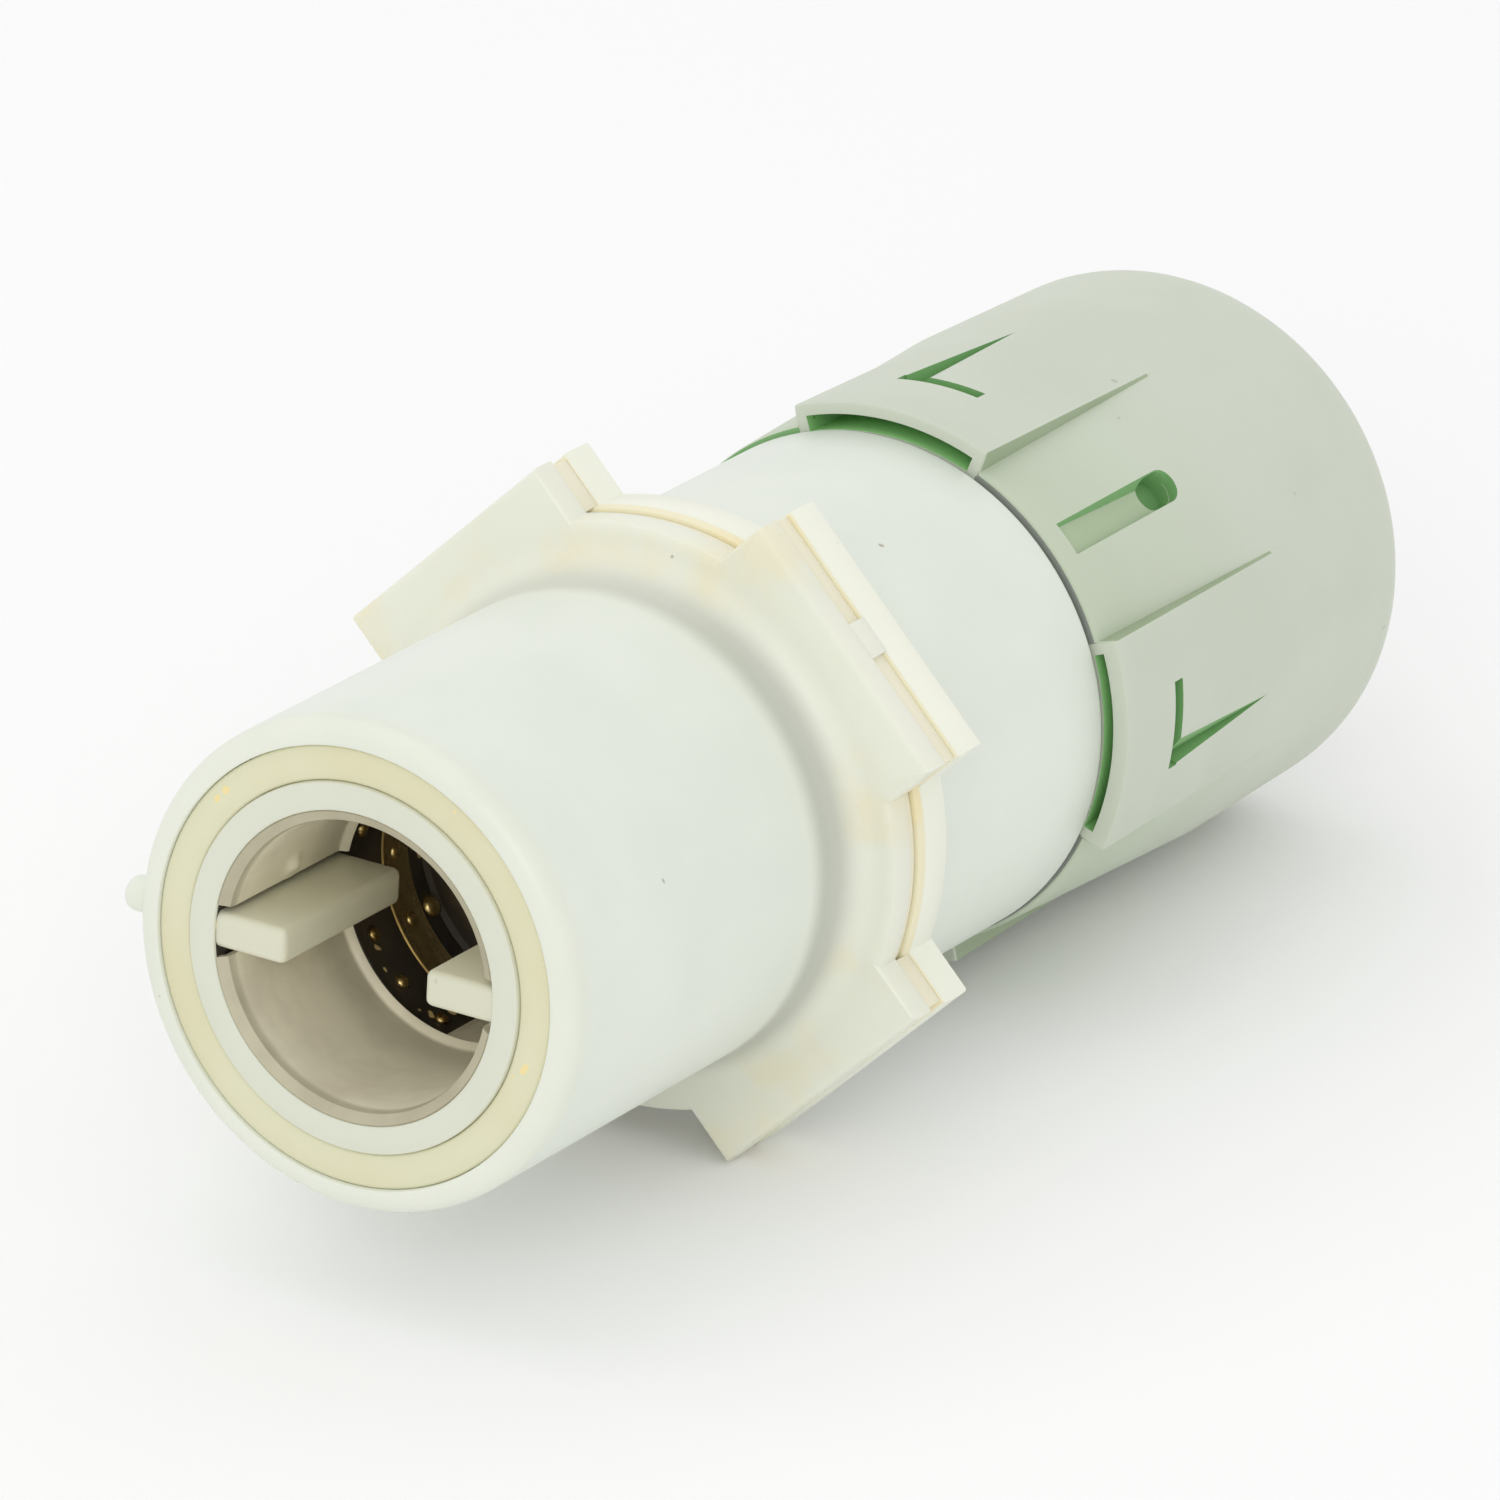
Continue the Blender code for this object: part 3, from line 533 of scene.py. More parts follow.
# %% Side nub
NUB_R = 1.15
NUB_ROUND = 0.7
NUB_TIP = 17.9
NUB_Y = -29.9
profile = [(NUB_R, BARREL_R - 1.0)]
for deg in (0, 22, 45, 68, 90):
    a = math.radians(deg)
    out = NUB_TIP - NUB_ROUND + NUB_ROUND * math.sin(a)
    profile.append((NUB_R - NUB_ROUND + NUB_ROUND * math.cos(a), out))
bm = bmesh.new()
domed_peg(bm, at_angle(180), NUB_Y, profile, 32)
nub = finish_piece("nub_tool", bm, 40, white_plastic)
combined(front_moulding, nub, "UNION")
seat(front_moulding, "housing", "white_plastic", "front_housing")

# %% [markdown]
# The rear moulding has the second flange plate, the rear barrel and the hidden neck for the cap.
# Its tabs start further back than its disc, which leaves the slit that shows in each tab's edge.

# %% Rear moulding
SEAT_IN = 14.9
SEAT_OUT = 17.9
SEAT_FLOOR = 4.3
SPIGOT_ROOM = 0.3
low, high = REAR_PLATE


def tab_or(radius, amount=0.0):
    return lambda deg: max(radius, tab_outline(deg) - amount)


stations = [(SEAT_OUT, low), (DISC_R - 0.3, low), (DISC_R - 0.08, low + 0.08), (DISC_R, low + 0.3)]
stations += [(DISC_R, SLIT_BACK - 0.05), (tab_or(DISC_R + 0.01, 0.25), SLIT_BACK)]
stations += [(tab_or(DISC_R + 0.01, 0.07), SLIT_BACK + 0.07), (tab_or(DISC_R + 0.01), SLIT_BACK + 0.25)]
stations += [(tab_or(DISC_R + 0.01), high - 0.45), (tab_or(DISC_R - 0.13, 0.13), high - 0.13)]
stations += [(tab_or(DISC_R - 0.45, 0.45), high)]
stations += arc(MID_R + 0.6, high + 0.6, 0.6, 270, 180, 5)
stations += [(MID_R, y) for y in (12.0, 18.0, 24.0)]
stations += arc(MID_R - 0.4, MID_END - 0.4, 0.4, 0, 90, 4)
stations += [(NECK_R, MID_END), (NECK_R, NECK_END), (NECK_IN, NECK_END)]
stations += [(NECK_IN, SPIGOT_END + SPIGOT_ROOM), (SPIGOT_R + SPIGOT_ROOM, SPIGOT_END + SPIGOT_ROOM)]
stations += [(SPIGOT_R + SPIGOT_ROOM, low), (SEAT_IN, low), (SEAT_IN, SEAT_FLOOR), (SEAT_OUT, SEAT_FLOOR)]
rear_moulding = turned_piece("rear_moulding", stations, FLANGE_ANGLES, white_plastic)
seat(rear_moulding, "housing", "white_plastic", "rear_housing")

# %% [markdown]
# Small keys bridge the slits in the middle of each tab. The four keys are one shape repeated
# round the axis, so Geometry Nodes place them: one point for each copy, an instance of a
# soft-edged block on each, turned about the axis, and then realised as plain mesh. Every tree
# here ends alike and is run alike, so that is done by two helpers.

# %% Slit keys with Geometry Nodes


def new_tree(name, inputs):
    tree = bpy.data.node_groups.new(name, "GeometryNodeTree")
    tree.interface.new_socket("Geometry", in_out="INPUT", socket_type="NodeSocketGeometry")
    ids = {}
    for label, kind, value in inputs:
        socket = tree.interface.new_socket(label, in_out="INPUT", socket_type=kind)
        socket.default_value = value
        ids[label] = socket.identifier
    tree.interface.new_socket("Geometry", in_out="OUTPUT", socket_type="NodeSocketGeometry")
    return tree, tree.nodes.new("NodeGroupInput"), tree.nodes.new("NodeGroupOutput"), ids


def end_tree(tree, geometry, material, result):
    real = added(tree, "GeometryNodeRealizeInstances", {0: geometry})
    coat = added(tree, "GeometryNodeSetMaterial", {"Geometry": real.outputs[0], "Material": material})
    tree.links.new(coat.outputs[0], result.inputs[0])


def run_tree(piece, tree, ids, values):
    step = piece.modifiers.new("rule", "NODES")
    step.node_group = tree
    for label, value in values.items():
        step[ids[label]] = value
    return baked(piece)


def copies_round_axis(piece, count, first_deg, material):
    tree, given, result, ids = new_tree(
        piece.name + "_copies", [("Count", "NodeSocketInt", 4), ("First angle", "NodeSocketFloat", 0.0)])
    line = added(tree, "GeometryNodePoints", {"Count": given.outputs["Count"]})
    index = added(tree, "GeometryNodeInputIndex", {})
    share = calc(tree, "DIVIDE", index.outputs[0], given.outputs["Count"])
    turn = calc(tree, "MULTIPLY_ADD", share, -2 * math.pi, given.outputs["First angle"])
    spin = added(tree, "ShaderNodeCombineXYZ", {"Y": turn})
    copy = added(tree, "GeometryNodeInstanceOnPoints", {
        "Points": line.outputs[0], "Instance": given.outputs["Geometry"], "Rotation": spin.outputs[0]})
    end_tree(tree, copy.outputs[0], material, result)
    return run_tree(piece, tree, ids, {"Count": count, "First angle": -math.radians(first_deg)})


BLOCK_SIDES = (
    ((0, 0, 0), (0, 0, 1), (0, 1, 1), (0, 1, 0)),
    ((1, 0, 0), (1, 1, 0), (1, 1, 1), (1, 0, 1)),
    ((0, 0, 0), (1, 0, 0), (1, 0, 1), (0, 0, 1)),
    ((0, 1, 0), (0, 1, 1), (1, 1, 1), (1, 1, 0)),
    ((0, 0, 0), (0, 1, 0), (1, 1, 0), (1, 0, 0)),
    ((0, 0, 1), (1, 0, 1), (1, 1, 1), (0, 1, 1)))


def soft_block(bm, place, out, side, along, width=0.25, segments=2):
    corners = {}
    for i, u in enumerate(out):
        for j, v in enumerate(side):
            for k, w in enumerate(along):
                corners[i, j, k] = bm.verts.new(place(u, v, w))
    made = [bm.faces.new([corners[spot] for spot in side_spots]) for side_spots in BLOCK_SIDES]
    edges = list({edge for face in made for edge in face.edges})
    bmesh.ops.bevel(bm, geom=edges, offset=width * MM, segments=segments, profile=0.5, affect="EDGES")


KEY_ROOT = 18.2
TAB_MIDDLE = 45.0
bm = bmesh.new()
soft_block(bm, at_angle(0), (KEY_ROOT, TAB_D - 0.02), (-KEY_W / 2, KEY_W / 2),
           (2.0, SLIT_BACK + 0.15), 0.05)
slit_keys = finish_piece("slit_keys", bm, 40, key_plastic)
copies_round_axis(slit_keys, 4, TAB_MIDDLE, key_plastic)
seat(slit_keys, "housing", "white_plastic", "flange_key_1", "flange_key_2", "flange_key_3", "flange_key_4")

# %% [markdown]
# Soft cream rings come next. A flat gasket lies between the plates, with a foot that sits in the
# rear plate's groove, and beside each key the slit is filled with the same silicone. A second
# ring, with softly rounded edges, fills the groove round the mouth.

# %% Flange gasket and mouth ring
GASKET_IN = 15.2
GASKET_FOOT = 17.6
GASKET_WEB = 19.3
FILL_ROOT = 17.2
FILL_HALF = 9.2
FILL_SUNK = 0.32
RING_LENGTH = 4.0
stations = [(GASKET_IN, 2.2), (GASKET_WEB - 0.1, 2.2), (GASKET_WEB, 2.5), (GASKET_WEB - 0.1, 2.8)]
stations += [(GASKET_FOOT, 2.85), (GASKET_FOOT, 4.0), (GASKET_IN, 4.0)]
gasket = turned_piece("plate_gasket", stations, even(160), slit_cream)
bm = bmesh.new()
for side in ((-FILL_HALF, -KEY_W / 2 + 0.05), (KEY_W / 2 - 0.05, FILL_HALF)):
    soft_block(bm, at_angle(0), (FILL_ROOT, TAB_D - FILL_SUNK), side, (2.13, SLIT_BACK - 0.03), 0.05)
slit_fill = finish_piece("slit_fill", bm, 40, slit_cream)
copies_round_axis(slit_fill, 4, TAB_MIDDLE, slit_cream)
seat(slit_fill, "housing", "cream_silicone")
seat(gasket, "housing", "cream_silicone", "flange_gasket")
front = RIM_Y + 0.2
inner, outer = LINER_R + 0.03, RIM_IN - 0.03
stations = [(inner, front + 0.2), (inner + 0.06, front + 0.08), (inner + 0.2, front + 0.03)]
stations += [((inner + outer) / 2, front), (outer - 0.2, front + 0.03), (outer - 0.06, front + 0.08)]
stations += [(outer, front + 0.2), (outer, front + RING_LENGTH), (inner, front + RING_LENGTH)]
mouth_ring = turned_piece("mouth_ring", stations, even(192), cream_silicone, 50)
seat(mouth_ring, "housing", "cream_silicone", "mouth_seal")

# %% [markdown]
# Inside the mouth is a white tube with two flat ribs. The ribs keep the two contact shells apart
# and guide the lamp's cap. Each rib is a soft-edged block, joined to the turned tube. The bore's
# wall between the shells looks dark in the photo, so those faces take the dark phenolic colour as
# painted shade.

# %% Liner and ribs
stations = [(BORE_R, RIM_Y + 0.2), (BORE_R + 0.06, RIM_Y + 0.06), (BORE_R + 0.2, RIM_Y)]
stations += [(LINER_R - 0.2, RIM_Y), (LINER_R - 0.06, RIM_Y + 0.06), (LINER_R, RIM_Y + 0.2)]
stations += [(LINER_R, LINER_END), (BORE_R, LINER_END)]
liner = turned_piece("bore_liner", stations, even(192), liner_plastic)
# Painted shade: the tube's inward bore faces take the dark phenolic colour.
liner.data.materials.append(dark_phenolic)
for face in liner.data.polygons:
    inwards = face.normal.x * face.center.x + face.normal.z * face.center.z < 0
    if inwards and abs(face.normal.y) < 0.1:
        face.material_index = 1
rib_out, rib_side, rib_along = (RIB_IN, BORE_R + 1.2), (-RIB_T / 2, RIB_T / 2), (RIM_Y + 0.25, RIB_END)
for deg in (0, 180):
    bm = bmesh.new()
    soft_block(bm, at_angle(deg), rib_out, rib_side, rib_along, 0.5, 4)
    rib = finish_piece("rib_tool", bm, 40, liner_plastic)
    combined(liner, rib, "UNION")
seat(liner, "housing", "white_plastic", "socket_liner")

# %% [markdown]
# The contact shells are pressed from thin sheet: an arc of tube with a rolled front lip, a rear
# edge that turns in and catches the light, and a tail that goes back to the terminal. The upper
# one has two dimples that bear on the lamp's cap. A grid of points is bent round the axis, the
# dimples push it inwards, and Solidify gives it thickness.

# %% Contact shells
SHELL_HALF = 80.0
SHELL_LIP = -32.05
LIP_FLARE = 0.62
LIP_WIDTH = 0.24
TURN_IN = 0.5
TURN_WIDTH = 0.36
TAIL_W = 3.5
TAIL_END = 10.2
DIMPLE_DEPTH = 0.42
DIMPLE_R = 0.55
DIMPLES = ((74.0, -25.3), (-74.0, -25.3))


def shell_dent(off, y):
    dent = 0.0
    for where, along in DIMPLES:
        gap = math.hypot((off - where) * math.pi / 180 * SHELL_R, y - along)
        dent += DIMPLE_DEPTH * math.exp(-(gap / DIMPLE_R) ** 2)
    return dent


def sheet_arc(bm, middle, half, low, high, across, along, dented):
    rows = []
    for i in range(along + 1):
        y = low + (high - low) * i / along
        row = []
        for j in range(across + 1):
            off = -half + 2 * half * j / across
            lip = LIP_FLARE * math.exp(-((y - SHELL_LIP) / LIP_WIDTH) ** 2)
            turn_in = TURN_IN * math.exp(-((y - SHELL_BACK) / TURN_WIDTH) ** 2)
            r = SHELL_R + SHELL_T - 0.25 + lip - turn_in - (shell_dent(off, y) if dented else 0.0)
            a = math.radians(middle + off)
            row.append(bm.verts.new((r * math.cos(a) * MM, y * MM, r * math.sin(a) * MM)))
        rows.append(row)
    for one, two in zip(rows, rows[1:]):
        for j in range(across):
            bm.faces.new((one[j], one[j + 1], two[j + 1], two[j]))


def contact_shell(name, middle, node, dented):
    bm = bmesh.new()
    sheet_arc(bm, middle, SHELL_HALF, SHELL_LIP, SHELL_BACK, 140, 70, dented)
    shell = finish_piece(name, bm, 40, tinned_sheet)
    wall = shell.modifiers.new("thickness", "SOLIDIFY")
    wall.thickness = (SHELL_T - 0.05) * MM
    wall.offset = 0.0
    baked(shell)
    bm = bmesh.new()
    soft_block(bm, at_angle(middle), (SHELL_R + 0.02, SHELL_R + SHELL_T - 0.04),
               (-TAIL_W / 2, TAIL_W / 2), (SHELL_BACK - 0.8, TAIL_END), 0.08)
    tail = finish_piece("tail_tool", bm, 40, tinned_sheet)
    combined(shell, tail, "UNION")
    seat(shell, "housing", "tinned_sheet", node)


contact_shell("upper_contact", 90.0, "shell_upper", True)
contact_shell("lower_contact", -90.0, "shell_lower", False)

# %% [markdown]
# Behind the shells the bore is dark: a phenolic cup closes it and carries a brass bush for the
# centre pin. Both are turned pieces. Two slots are cut in the cup for the shells' tails.

# %% Dark base and brass bush
CUP_FRONT = -17.8
BASE_FRONT = -8.6
BASE_BACK = -3.6
BUSH_SEAT = 2.8
BUSH_HOLE = 1.6
BUSH_R = 2.5
BUSH_HEAD = 3.9
BUSH_FRONT = -9.9
TROUGH_R = 7.6
stations = [(BUSH_SEAT, BASE_FRONT), (BUSH_HEAD, BASE_FRONT), (BUSH_HEAD + 0.3, BASE_FRONT + 0.3)]
stations += [(TROUGH_R, BASE_FRONT + 0.3), (TROUGH_R + 0.3, BASE_FRONT), (BORE_R - 0.3, BASE_FRONT)]
stations += [(BORE_R, BASE_FRONT - 0.3), (BORE_R, CUP_FRONT + 0.3), (BORE_R + 0.3, CUP_FRONT)]
stations += [(LINER_R - 0.2, CUP_FRONT), (LINER_R, CUP_FRONT + 0.2), (LINER_R, BASE_BACK)]
stations += [(BUSH_SEAT, BASE_BACK)]
contact_base = turned_piece("contact_base_cup", stations, even(160), dark_phenolic)
for deg in (90, 270):
    bm = bmesh.new()
    soft_block(bm, at_angle(deg), (SHELL_R - 0.3, BORE_R), (-0.6 * TAIL_W, 0.6 * TAIL_W),
               (BASE_FRONT - 1.0, BASE_BACK + 1.0), 0.02, 1)
    combined(contact_base, finish_piece("slot_tool", bm, 40, dark_phenolic), "DIFFERENCE")
seat(contact_base, "housing", "dark_phenolic", "contact_base")
stations = [(BUSH_HOLE, BUSH_FRONT + 0.1), (BUSH_HOLE + 0.15, BUSH_FRONT), (BUSH_HEAD - 0.3, BUSH_FRONT)]
stations += [(BUSH_HEAD, BUSH_FRONT + 0.3), (BUSH_HEAD, BUSH_FRONT + 1.0), (BUSH_R, BUSH_FRONT + 1.0)]
stations += [(BUSH_R, BASE_BACK), (BUSH_HOLE, BASE_BACK)]
bush = turned_piece("pin_bush", stations, even(96), brass)
seat(bush, "housing", "brass", "plunger_bush")

# %% [markdown]
# Deep in the cup the photo shows glints of brass. A thin brass band lines the cup, and rows of
# small rivets hold it: one domed head, repeated round the axis with the same copying tree.

# %% Brass band and rivets
BAND_Y = (-13.4, -10.4)
BAND_OUT = 10.1
BAND_IN = 9.98
RIVET_FOOT = 10.08
RIVET_PROFILE = ((0.52, 0.0), (0.5, 0.12), (0.4, 0.24), (0.22, 0.32), (0.06, 0.34))
low, high = BAND_Y
stations = [(BAND_IN, low + 0.1), (BAND_OUT - 0.04, low), (BAND_OUT, low + 0.1)]
stations += [(BAND_OUT, high - 0.1), (BAND_OUT - 0.04, high), (BAND_IN, high - 0.1)]
band = turned_piece("cup_band", stations, even(128), brass)
seat(band, "housing", "brass")


def rivet_row(name, y, count, first, size=1.0):
    bm = bmesh.new()
    profile = [(size * radius, RIVET_FOOT - size * rise) for radius, rise in RIVET_PROFILE]
    domed_peg(bm, at_angle(0), y, profile, 12)
    row = finish_piece(name, bm, 50, brass)
    copies_round_axis(row, count, first, brass)
    seat(row, "housing", "brass")


rivet_row("front_rivets", y=-16.0, count=18, first=10.0)
rivet_row("rear_rivets", y=-11.9, count=14, first=6.0)
rivet_row("floor_studs", y=-9.5, count=14, first=31.0, size=1.5)

# %% [markdown]
# A sprung brass pin stands out of the bush and would press on the lamp's foot. It is turned in one
# piece: a stem and a head with a domed front, which is a little fuller than an ellipse.

# %% Sprung pin
PIN_HEAD = 2.6
PIN_STEM = 1.3
PIN_BACK = -14.6
PIN_END = -3.0
PIN_AXIS = 0.001
stations = [(PIN_AXIS, -17.2), (0.45, -17.19), (0.9, -17.14), (1.35, -17.03), (1.8, -16.84)]
stations += [(2.2, -16.56), (2.45, -16.24), (2.58, -15.9), (PIN_HEAD, -15.6)]
stations += [(PIN_HEAD, PIN_BACK - 0.15), (PIN_HEAD - 0.15, PIN_BACK), (PIN_STEM, PIN_BACK)]
stations += [(PIN_STEM, PIN_END - 0.2), (PIN_STEM - 0.2, PIN_END), (PIN_AXIS, PIN_END)]
bm = bmesh.new()
spin_stations(bm, stations, even(64), closed=False)
pin = finish_piece("lamp_pin", bm, 40, brass)
seat(pin, "plunger", "brass", "plunger")

# %% [markdown]
# The spring between the pin's head and the bush is a rule along a path, so Geometry Nodes wind it:
# a spiral curve, laid along Y, swept by a round wire.

# %% Pin spring


def wound_spring(name, radius, wire, low, high, turns, material):
    values = {"Radius": radius * MM, "Wire": wire * MM, "Height": (high - low) * MM,
              "Turns": turns, "Start": low * MM}
    tree, given, result, ids = new_tree(
        name + "_tree", [(label, "NodeSocketFloat", value) for label, value in values.items()])
    spiral = added(tree, "GeometryNodeCurveSpiral", {
        "Resolution": 36, "Rotations": given.outputs["Turns"], "Start Radius": given.outputs["Radius"],
        "End Radius": given.outputs["Radius"], "Height": given.outputs["Height"]})
    shift = added(tree, "ShaderNodeCombineXYZ", {"Y": given.outputs["Start"]})
    lay = added(tree, "GeometryNodeTransform", {
        "Geometry": spiral.outputs[0], "Rotation": (-math.pi / 2, 0, 0), "Translation": shift.outputs[0]})
    section = added(tree, "GeometryNodeCurvePrimitiveCircle", {
        "Resolution": 12, "Radius": given.outputs["Wire"]})
    sweep = added(tree, "GeometryNodeCurveToMesh", {
        "Curve": lay.outputs[0], "Profile Curve": section.outputs[0], "Fill Caps": True})
    smooth = added(tree, "GeometryNodeSetShadeSmooth", {"Geometry": sweep.outputs[0]})
    end_tree(tree, smooth.outputs[0], material, result)
    piece = bpy.data.objects.new(name, bpy.data.meshes.new(name))
    bpy.context.scene.collection.objects.link(piece)
    return run_tree(piece, tree, ids, values)


pin_spring = wound_spring("pin_spring", radius=2.03, wire=0.28, low=-14.02, high=-10.48,
                          turns=3.0, material=spring_steel)
seat(pin_spring, "housing", "spring_steel", "plunger_spring")
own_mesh(pin_spring)

# %% [markdown]
# The cap is a grip: four raised pads stand between four flutes that sink at the front and run out
# towards the rear. It starts as a plain turned cup that narrows a little towards the rear. Its
# points are closer together beside the pads' edges, where the steps will be.

# %% Plain cup for the cap


def cap_angles():
    offs = [0.0]
    for edge in (-0.6, -0.3, -0.12, 0.12, 0.3, 0.6):
        offs.append(PAD_HALF + edge)
    offs += [PAD_HALF * i / 9 for i in range(1, 9)]
    offs += [PAD_HALF + 1.6 + (45 - PAD_HALF - 1.6) * i / 9 for i in range(0, 10)]
    return four_fold(offs, 0)


def pad_skin(y):
    return PAD_R - CAP_TAPER * (y - CAP_FRONT) / (CAP_END - CAP_ROUND - CAP_FRONT)


stations = [(SKIRT_IN, CAP_FRONT), (FLUTE_R - 0.35, CAP_FRONT), (PAD_R - 0.2, CAP_FRONT)]
stations += [(PAD_R - 0.06, CAP_FRONT + 0.06), (PAD_R, CAP_FRONT + 0.25)]
spots = [CAP_FRONT + (FLUTE_END - CAP_FRONT) * i / 16 for i in range(1, 17)] + [57.0, 62.0]
stations += [(pad_skin(y), y) for y in spots]
stations += arc(PAD_R - CAP_TAPER - CAP_ROUND, CAP_END - CAP_ROUND, CAP_ROUND, 0, 90, 14)
stations += arc(ENTRY_R + 0.4, CAP_END - 0.4, 0.4, 90, 180, 4)
stations += [(ENTRY_R, CAP_WALL_FRONT), (SKIRT_IN, CAP_WALL_FRONT)]
end_cap = turned_piece("twist_cap", stations, cap_angles(), cap_plastic)
print("plain cup:", len(stations), "stations")

# %% [markdown]
# The flutes follow a simple rule, so a Geometry Nodes tree sinks them: it reads each point's angle
# and place along the axis, and moves the point inwards by the flute's depth there. The depth fades
# evenly to nothing at the run-out. Then the steep steps get painted shade in the flute_shade colour.

# %% Flutes by rule


def flute_tree(values, material):
    tree, given, result, ids = new_tree(
        "cap_flutes", [(label, "NodeSocketFloat", value) for label, value in values.items()])

    def maths(operation, *values):
        return calc(tree, operation, *values)

    place = added(tree, "GeometryNodeInputPosition", {})
    x, y, z = added(tree, "ShaderNodeSeparateXYZ", {0: place.outputs[0]}).outputs
    half, edge = given.outputs["Pad half angle"], given.outputs["Edge"]
    sector = maths("DIVIDE", 2 * math.pi, given.outputs["Pads"])
    angle = maths("ARCTAN2", z, x)
    off = maths("WRAP", angle, maths("MULTIPLY", sector, 0.5), maths("MULTIPLY", sector, -0.5))
    off = maths("ABSOLUTE", off)
    step = ranged(tree, off, maths("SUBTRACT", half, edge), maths("ADD", half, edge))
    fade = ranged(tree, y, given.outputs["Front"], given.outputs["Run out"], 1.0, 0.0, "LINEAR")
    radius = maths("SQRT", maths("ADD", maths("MULTIPLY", x, x), maths("MULTIPLY", z, z)))
    outside = maths("GREATER_THAN", radius, given.outputs["Skirt"])
    depth = maths("MULTIPLY", outside, given.outputs["Depth"])
    sink = maths("MULTIPLY", maths("MULTIPLY", step, fade), depth)
    keep = maths("SUBTRACT", 1.0, maths("DIVIDE", sink, radius))
    join = added(tree, "ShaderNodeCombineXYZ", {"X": maths("MULTIPLY", x, keep), "Y": y,
                                                "Z": maths("MULTIPLY", z, keep)})
    move = added(tree, "GeometryNodeSetPosition", {
        "Geometry": given.outputs["Geometry"], "Position": join.outputs[0]})
    end_tree(tree, move.outputs[0], material, result)
    return tree, ids


STEP_EDGE = 0.3
flute_values = {"Pads": 4.0, "Pad half angle": math.radians(PAD_HALF), "Edge": math.radians(STEP_EDGE),
                "Depth": (PAD_R - FLUTE_R) * MM, "Front": CAP_FRONT * MM, "Run out": FLUTE_END * MM,
                "Skirt": (FLUTE_R - 0.05) * MM}
tree, ids = flute_tree(flute_values, cap_plastic)
run_tree(end_cap, tree, ids, flute_values)
# Painted shade on the steep step faces beside each pad's edge.
end_cap.data.materials.append(flute_shade)
steep = 0
for face in end_cap.data.polygons:
    turn = math.degrees(math.atan2(face.center.z, face.center.x))
    off = abs((turn + 45) % 90 - 45)
    outside = math.hypot(face.center.x, face.center.z) > (FLUTE_R - 0.1) * MM
    on_step = abs(off - PAD_HALF) < STEP_EDGE + 0.01
    if outside and on_step and CAP_FRONT + 0.2 < face.center.y / MM < FLUTE_END - 1.6:
        face.material_index = 1
        steep += 1
print("fluted cap:", len(end_cap.data.polygons), "faces,", steep, "on the steep steps")

# %% [markdown]
# Three kinds of recess are cut into the cap: an open hollow at the front of each pad, a flat slot
# with an oblong latch hole in two facing flutes, and an L mark in each pad, which is a straight
# stroke and a wedge arm that is deepest at the corner. Each cutter carries the painted shade of its
# recess, so the walls that it leaves take it. Last, the cap's front face in the flutes gets painted
# shade for the joint line.

# %% Recesses in the cap
HOLLOW_IN = 17.15
HOLLOW_OUT = 18.2
RIGHT_HOLLOW_OUT = 17.85
HOLLOW_DEPTH = 6.0
SLOT_W = 2.4
SLOT = (31.9, 44.9)
SLOT_FLOOR = 17.35
LATCH_FLOOR = 16.4
LATCH_FRONT = 41.6
SLOT_LEAN = 0.5
MARK_Y = (36.3, 50.4)
MARK_W = 1.05
MARK_DEPTH = 0.6
MARK_DEGS = (10.0, 6.0, -8.5)
ARM_DEG = 6.0
ARM_DEPTH = 1.1


def closed_prism(bm, low, high):
    count = len(low)
    faces = [bm.faces.new(low), bm.faces.new(high)]
    for i in range(count):
        j = (i + 1) % count
        faces.append(bm.faces.new((low[i], low[j], high[j], high[i])))
    return faces


def hollow_cutter(bm, pad, outer, half):
    low, high = [], []
    edge = [(outer, -half + 2 * half * i / 24) for i in range(25)]
    edge += [(HOLLOW_IN, half - 2 * half * i / 24) for i in range(25)]
    for r, deg in edge:
        low.append(bm.verts.new(at_angle(pad + deg)(r, 0, CAP_FRONT - 1)))
        high.append(bm.verts.new(at_angle(pad + deg)(r, 0, CAP_FRONT + HOLLOW_DEPTH)))
    for face in closed_prism(bm, low, high):
        face.material_index = 2


def slot_cutter(bm, flute, front, end, half, floor, round_front=False):
    outline = [(end - half + half * math.cos(math.radians(t)), half * math.sin(math.radians(t)))
               for t in range(-90, 91, 12)]
    if round_front:
        outline += [(front + half + half * math.cos(math.radians(t)), half * math.sin(math.radians(t)))
                    for t in range(90, 271, 12)]
    else:
        outline += [(front, half), (front, -half)]
    low, high = [], []
    for along, side in outline:
        foot = top = side
        if side > 0 and not round_front:
            share = (along - front) / (end - front)
            skin = pad_skin(along) - (PAD_R - FLUTE_R) * (FLUTE_END - along) / (FLUTE_END - CAP_FRONT)
            foot = side * (1 - SLOT_LEAN * (0.4 + 0.6 * share))
            top = foot + (side - foot) * (PAD_R + 2 - floor) / (skin - floor)
        low.append(bm.verts.new(at_angle(flute)(floor, foot, along)))
        high.append(bm.verts.new(at_angle(flute)(PAD_R + 2, top, along)))
    return closed_prism(bm, low, high)[0]


